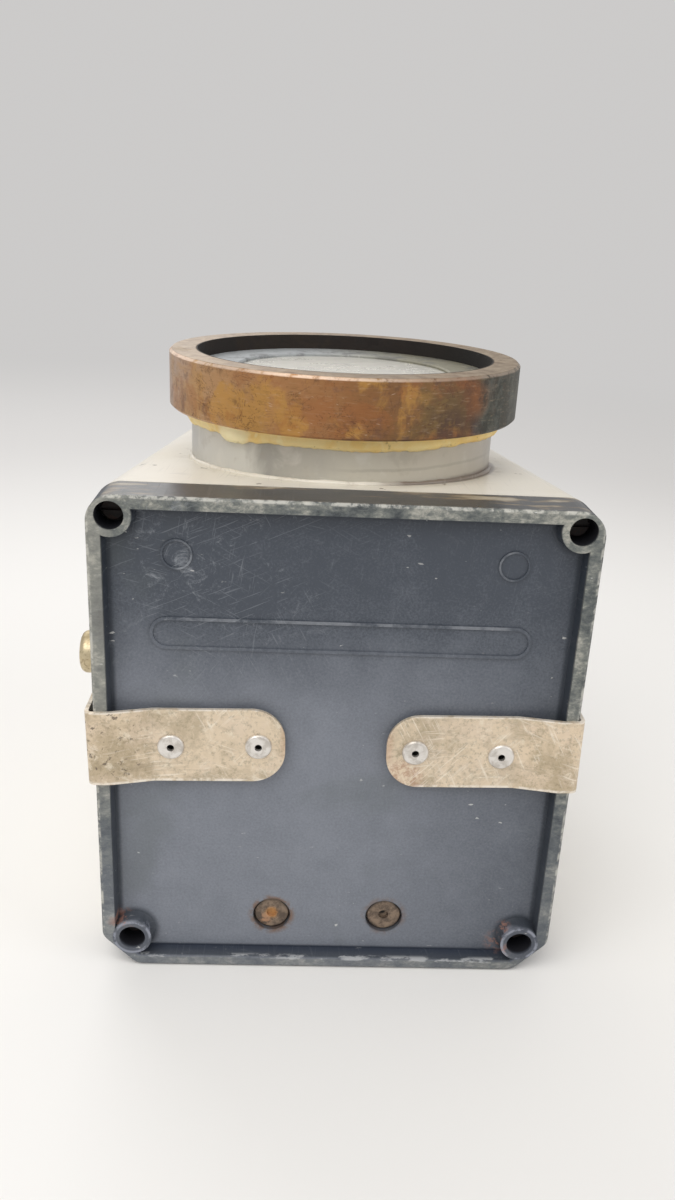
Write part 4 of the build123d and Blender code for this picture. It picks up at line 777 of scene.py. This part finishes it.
def tick_tree():
    """Geometry tree: bars standing radially round a circle."""
    tree = bpy.data.node_groups.new("radial_ticks", "GeometryNodeTree")
    face = tree.interface
    face.new_socket("Geometry", in_out="INPUT", socket_type="NodeSocketGeometry")
    for name, kind in (("Count", "NodeSocketInt"), ("Radius", "NodeSocketFloat"),
                       ("Bar size", "NodeSocketVector"), ("Centre", "NodeSocketVector"),
                       ("Finish", "NodeSocketMaterial")):
        face.new_socket(name, in_out="INPUT", socket_type=kind)
    face.new_socket("Geometry", in_out="OUTPUT", socket_type="NodeSocketGeometry")
    new = tree.nodes.new
    given, result = new("NodeGroupInput"), new("NodeGroupOutput")
    circle, bar = new("GeometryNodeMeshCircle"), new("GeometryNodeMeshCube")
    place, shift = new("GeometryNodeInstanceOnPoints"), new("GeometryNodeTransform")
    where, along = new("GeometryNodeInputPosition"), new("FunctionNodeAlignRotationToVector")
    real, dress = new("GeometryNodeRealizeInstances"), new("GeometryNodeSetMaterial")
    along.axis = "X"
    along.pivot_axis = "Z"
    for start, end in (
            (given.outputs["Count"], circle.inputs["Vertices"]),
            (given.outputs["Radius"], circle.inputs["Radius"]),
            (given.outputs["Bar size"], bar.inputs["Size"]),
            (where.outputs["Position"], along.inputs["Vector"]),
            (circle.outputs["Mesh"], place.inputs["Points"]),
            (bar.outputs["Mesh"], place.inputs["Instance"]),
            (along.outputs["Rotation"], place.inputs["Rotation"]),
            (place.outputs["Instances"], shift.inputs["Geometry"]),
            (given.outputs["Centre"], shift.inputs["Translation"]),
            (shift.outputs["Geometry"], real.inputs["Geometry"]),
            (real.outputs["Geometry"], dress.inputs["Geometry"]),
            (given.outputs["Finish"], dress.inputs["Material"]),
            (dress.outputs["Geometry"], result.inputs["Geometry"]),
    ):
        tree.links.new(start, end)
    return tree


def ticks(name, tree, values):
    """Plain mesh of one ring of ticks from the geometry tree."""
    holder = bpy.data.objects.new(name, bpy.data.meshes.new(name))
    bpy.context.scene.collection.objects.link(holder)
    modifier = holder.modifiers.new("ticks", "NODES")
    modifier.node_group = tree
    for item in tree.interface.items_tree:
        if item.item_type == "SOCKET" and item.in_out == "INPUT" and item.name in values:
            modifier[item.identifier] = values[item.name]
    bpy.context.view_layer.update()
    graph = bpy.context.evaluated_depsgraph_get()
    mesh = bpy.data.meshes.new_from_object(holder.evaluated_get(graph))
    holder.modifiers.clear()
    bpy.data.objects.remove(holder)
    return mesh


def numeral(text, height, depth, place, turn):
    """Upright mesh figure, moved to its place on a dial."""
    curve = bpy.data.curves.new("numeral", "FONT")
    curve.body = text
    curve.size = height
    curve.extrude = depth / 2
    curve.align_x = "CENTER"
    curve.align_y = "CENTER"
    curve.resolution_u = 3
    holder = bpy.data.objects.new("numeral", curve)
    bpy.context.scene.collection.objects.link(holder)
    bpy.context.view_layer.update()
    graph = bpy.context.evaluated_depsgraph_get()
    mesh = bpy.data.meshes.new_from_object(holder.evaluated_get(graph))
    bpy.data.objects.remove(holder)
    mesh.transform(Matrix.Translation(Vector(place)) @ Matrix.Rotation(turn, 4, "Z"))
    return mesh


def ink_dial(name, tree, surface, centre, rings, circles, steps, figures, height):
    """All the ink of one dial as one piece.

    rings: count, radius, length, width and height in inks; circles: inner and outer radius;
    figures: text, radius, bearing and turn.
    """
    ink = bpy.context.scene.chrono_sizes.mark_height
    material = finishes["dial_ink"]
    level = surface + ink / 2
    marks = [ticks("ticks", tree, {"Count": count, "Radius": radius, "Centre": (*centre, level),
                                   "Bar size": (length, width, ink * tall), "Finish": material})
             for count, radius, length, width, tall in rings]
    marks += [flat_band("line", inner, outer, surface - ink / 2, surface + ink, centre, steps)
              for inner, outer in circles]
    marks += [numeral(text, height, ink, section([(radius, level)], angle, centre)[0], turn)
              for text, radius, angle, turn in figures]
    kept_piece(name, joined(name, marks, material), "hand_blue", "case")


# ---------------------------------------- stage
def floor_finish(tone):
    """Pale card that fades into the light of the room far from the object."""
    paint = Finish("floor_card")
    reach = paint.node("ShaderNodeVectorMath", {"operation": "LENGTH"}, {0: paint.place}, "Value")
    cloud = paint.grain(3, 3, 0.5)
    paint.base = paint.mix(tone, (0.80, 0.79, 0.775), cloud * 0.5)
    paint.over((0.66, 0.65, 0.64), paint.step(reach, 0.30, 0.80))
    paint.wear(Roughness=0.5 + cloud * 0.1)
    haze = paint.node("ShaderNodeEmission", {}, {"Color": (*ROOM_TONE, 1), "Strength": ROOM_LIGHT})
    blend = paint.node("ShaderNodeMixShader", {}, {0: paint.step(reach, 0.6, 1.5)})
    mixer = blend.socket.node
    paint.tree.links.new(paint.shader.outputs[0], mixer.inputs[1])
    paint.tree.links.new(haze.socket, mixer.inputs[2])
    paint.tree.links.new(blend.socket, paint.output.inputs["Surface"])
    return paint.material


def lay_floor(scene, material):
    shell = bmesh.new()
    bmesh.ops.create_circle(shell, cap_ends=True, segments=96, radius=FLOOR_RADIUS)
    mesh = bpy.data.meshes.new("floor")
    shell.to_mesh(mesh)
    shell.free()
    mesh.materials.append(material)
    floor = bpy.data.objects.new("floor", mesh)
    floor.location.z = -FLOOR_DROP
    scene.collection.objects.link(floor)


def light_room(scene):
    """An even room round the object and three soft lamps."""
    world = bpy.data.worlds.new("soft_room")
    world.use_nodes = True
    background = world.node_tree.nodes["Background"]
    background.inputs["Color"].default_value = (*ROOM_TONE, 1)
    background.inputs["Strength"].default_value = ROOM_LIGHT
    scene.world = world
    scene.view_settings.view_transform = "Standard"
    for name, place, aim, size, watts, colour in LAMPS:
        lamp = bpy.data.lights.new(name, "AREA")
        lamp.size = size
        lamp.energy = watts
        lamp.color = colour
        holder = bpy.data.objects.new(name, lamp)
        holder.location = place
        holder.rotation_euler = (Vector(aim) - Vector(place)).to_track_quat("-Z", "Y").to_euler()
        scene.collection.objects.link(holder)


def set_camera(scene, length):
    """Camera at its place, turned by yaw, then pitch, then roll."""
    lens = bpy.data.cameras.new("camera")
    lens.lens = length
    lens.sensor_width = 36
    lens.clip_start = 0.01
    camera = bpy.data.objects.new("camera", lens)
    yaw, pitch, roll = CAMERA_TURN
    ahead = Vector((sin(yaw) * cos(pitch), cos(yaw) * cos(pitch), -sin(pitch)))
    right = Vector((cos(yaw), -sin(yaw), 0))
    up = right.cross(ahead)
    across = cos(roll) * right + sin(roll) * up
    upright = cos(roll) * up - sin(roll) * right
    turn = Matrix((across, upright, -ahead)).transposed()
    camera.matrix_world = Matrix.Translation(CAMERA_PLACE) @ turn.to_4x4()
    scene.collection.objects.link(camera)
    scene.camera = camera


# ---------------------------------------- settings
def tone_setting(name, description, default):
    return FloatVectorProperty(name=name, description=description, subtype="COLOR",
                               default=default, min=0, max=1)


def length_setting(name, description, default, low, high):
    return FloatProperty(name=name, description=description, subtype="DISTANCE",
                         default=default, min=low, max=high)


class ChronometerColours(bpy.types.PropertyGroup):
    moulding: tone_setting("Cover", "Clean tone of the moulded cover", (0.050, 0.060, 0.078))
    # The cover haze tone is partly dust and partly painted light low on the cover.
    moulding_dust: tone_setting("Cover haze", "Tone of the dust film low on the cover",
                                (0.205, 0.222, 0.258))
    case_paint: tone_setting("Case paint", "Tone of the painted case", (0.80, 0.76, 0.67))
    putty: tone_setting("Sealing", "Tone of the sealing under the bezel", (0.93, 0.72, 0.34))
    strap: tone_setting("Straps", "Tone of the strap metal", (0.74, 0.61, 0.45))
    floor: tone_setting("Floor", "Tone of the floor", (0.86, 0.85, 0.83))


class ChronometerSizes(bpy.types.PropertyGroup):
    seal_ragged: length_setting("Seal unevenness", "How far the sealing's lower edge wanders",
                                0.0006, 0, 0.003)
    bead_radius: length_setting("Foot bead", "Radius of the paint bead round the neck",
                                0.0009, 0.0003, 0.003)
    tick_width: length_setting("Minute mark", "Width of a minute mark", 0.00018, 0.00005, 0.001)
    mark_height: length_setting("Ink height", "How far ink stands on the dials",
                                0.00006, 0.00001, 0.0005)
    minutes: IntProperty(name="Minute marks", description="Marks round the chapter ring", default=60,
                         min=12, max=120)
    lens: FloatProperty(name="Lens", description="Focal length of the camera in millimetres",
                        default=30.37, min=10, max=200)


# ---------------------------------------- operators
class CHRONO_OT_finishes(bpy.types.Operator):
    """Make every finish and put it on the frame's pieces"""
    bl_idname = "chrono.finishes"
    bl_label = "Finishes"

    def execute(self, context):
        make_finishes(context.scene.chrono_colours)
        for subpart in frame["record"]["subparts"]:
            piece = nodes[subpart["node"]]
            for place in piece.material_slots:
                place.material = finishes[subpart["material_slot"]]
        return {"FINISHED"}


class CHRONO_OT_seal(bpy.types.Operator):
    """Lay the uneven sealing bead between bezel and neck"""
    bl_idname = "chrono.seal"
    bl_label = "Sealing bead"

    def execute(self, context):
        ragged = context.scene.chrono_sizes.seal_ragged
        inner, top = neck_high.x - 0.0001, seal_high.z
        sections = []
        for index in range(SEAL_STEPS):
            angle = 2 * pi * index / SEAL_STEPS
            edge = seal_low.z - 0.0006 + ragged * (ripple(angle, 3, 1) + 0.6 * ripple(angle, 11, 2)
                                                   + 0.4 * ripple(angle, 31, 3))
            lump = abs(angle - LUMP_AT) / LUMP_SPREAD
            sag = max(0.0, 1 - lump * lump)
            edge = max(edge - sag * 0.0014, seal_low.z - 0.0024)
            bulge = 0.0022 + 0.0007 * ripple(angle, 5, 4) + 0.0003 * ripple(angle, 23, 5) + sag * 0.0012
            profile = ((0, edge), (0.35 * bulge, edge - 0.0001), (0.75 * bulge, edge + 0.0006),
                       (bulge, edge + 0.0015), (bulge * 1.08, (edge + top) / 2 + 0.0004),
                       (bulge + 0.0006, top - 0.0005), (bulge + 0.0010, top), (0, top))
            sections.append(section([(inner + r, z) for r, z in profile], angle))
        bead = ring_mesh("sealing_bead", sections)
        kept_piece("sealing_bead", bead, "seal_putty", "case", "neck_seal")
        return {"FINISHED"}


class CHRONO_OT_foot_bead(bpy.types.Operator):
    """Run the paint bead round the foot of the neck"""
    bl_idname = "chrono.foot_bead"
    bl_label = "Neck foot bead"

    def execute(self, context):
        size = context.scene.chrono_sizes.bead_radius
        reach = neck_high.x + 0.0002
        sides = [2 * pi * side / BEAD_SIDES for side in range(BEAD_SIDES)]
        sections = []
        for index in range(BEAD_STEPS):
            angle = 2 * pi * index / BEAD_STEPS
            height = case_high.z - TOP_FALL * (reach * sin(angle) - case_low.y)
            swell = size * (1 + 0.25 * ripple(angle, 6, 6) + 0.15 * ripple(angle, 25, 7))
            profile = [(reach + swell * cos(t), height + swell * sin(t)) for t in sides]
            sections.append(section(profile, angle))
        kept_piece("neck_foot_bead", ring_mesh("neck_foot_bead", sections), "case_paint", "case")
        return {"FINISHED"}


class CHRONO_OT_dial_marks(bpy.types.Operator):
    """Mark the chapter ring and the seconds dial"""
    bl_idname = "chrono.dial_marks"
    bl_label = "Dial markings"

    def execute(self, context):
        sizes = context.scene.chrono_sizes
        tree = tick_tree()
        # VI is left out, where the seconds dial lies.
        figures = [(text, 0.0303, radians(90 - hour * 30), radians(-hour * 30))
                   for hour, text in enumerate(HOURS) if text != "VI"]
        ink_dial("chapter_markings", tree, chapter_high.z, (0, 0),
                 ((sizes.minutes, 0.0349, 0.0014, sizes.tick_width, 1),
                  (12, 0.0349, 0.0014, 0.00055, 1.3)),
                 ((0.03555, 0.03570), (0.03405, 0.03420)), 144, figures, 0.0056)
        centre = ((seconds_low.x + seconds_high.x) / 2, (seconds_low.y + seconds_high.y) / 2)
        figures = [(str(second), 0.0058, radians(90 - second * 6), 0) for second in range(10, 70, 10)]
        ink_dial("seconds_markings", tree, seconds_high.z, centre,
                 ((60, 0.0075, 0.0007, 0.0001, 1), (12, 0.0074, 0.0009, 0.00022, 1.3)),
                 ((0.00785, 0.00795),), 96, figures, 0.0018)
        return {"FINISHED"}


class CHRONO_OT_stage(bpy.types.Operator):
    """Set the floor, the soft lights and the camera"""
    bl_idname = "chrono.stage"
    bl_label = "Stage"

    def execute(self, context):
        scene = context.scene
        lay_floor(scene, floor_finish(scene.chrono_colours.floor))
        light_room(scene)
        set_camera(scene, scene.chrono_sizes.lens)
        return {"FINISHED"}


class CHRONO_PT_panel(bpy.types.Panel):
    """Sizes, colours and steps of the chronometer"""
    bl_idname = "CHRONO_PT_panel"
    bl_label = "Chronometer"
    bl_space_type = "VIEW_3D"
    bl_region_type = "UI"
    bl_category = "Chronometer"

    def draw(self, context):
        for group in (context.scene.chrono_sizes, context.scene.chrono_colours):
            for name in group.bl_rna.properties.keys():
                if name not in ("rna_type", "name"):
                    self.layout.prop(group, name)
        for step in steps:
            self.layout.operator(step.bl_idname)


steps = (CHRONO_OT_finishes, CHRONO_OT_seal, CHRONO_OT_foot_bead, CHRONO_OT_dial_marks, CHRONO_OT_stage)
classes = (ChronometerColours, ChronometerSizes, *steps, CHRONO_PT_panel)


def register():
    for item in classes:
        bpy.utils.register_class(item)
    bpy.types.Scene.chrono_colours = PointerProperty(type=ChronometerColours)
    bpy.types.Scene.chrono_sizes = PointerProperty(type=ChronometerSizes)


def unregister():
    del bpy.types.Scene.chrono_sizes
    del bpy.types.Scene.chrono_colours
    for item in reversed(classes):
        bpy.utils.unregister_class(item)


def main():
    register()
    for step in ("finishes", "seal", "foot_bead", "dial_marks", "stage"):
        getattr(bpy.ops.chrono, step)()


if __name__ == "__main__":
    main()
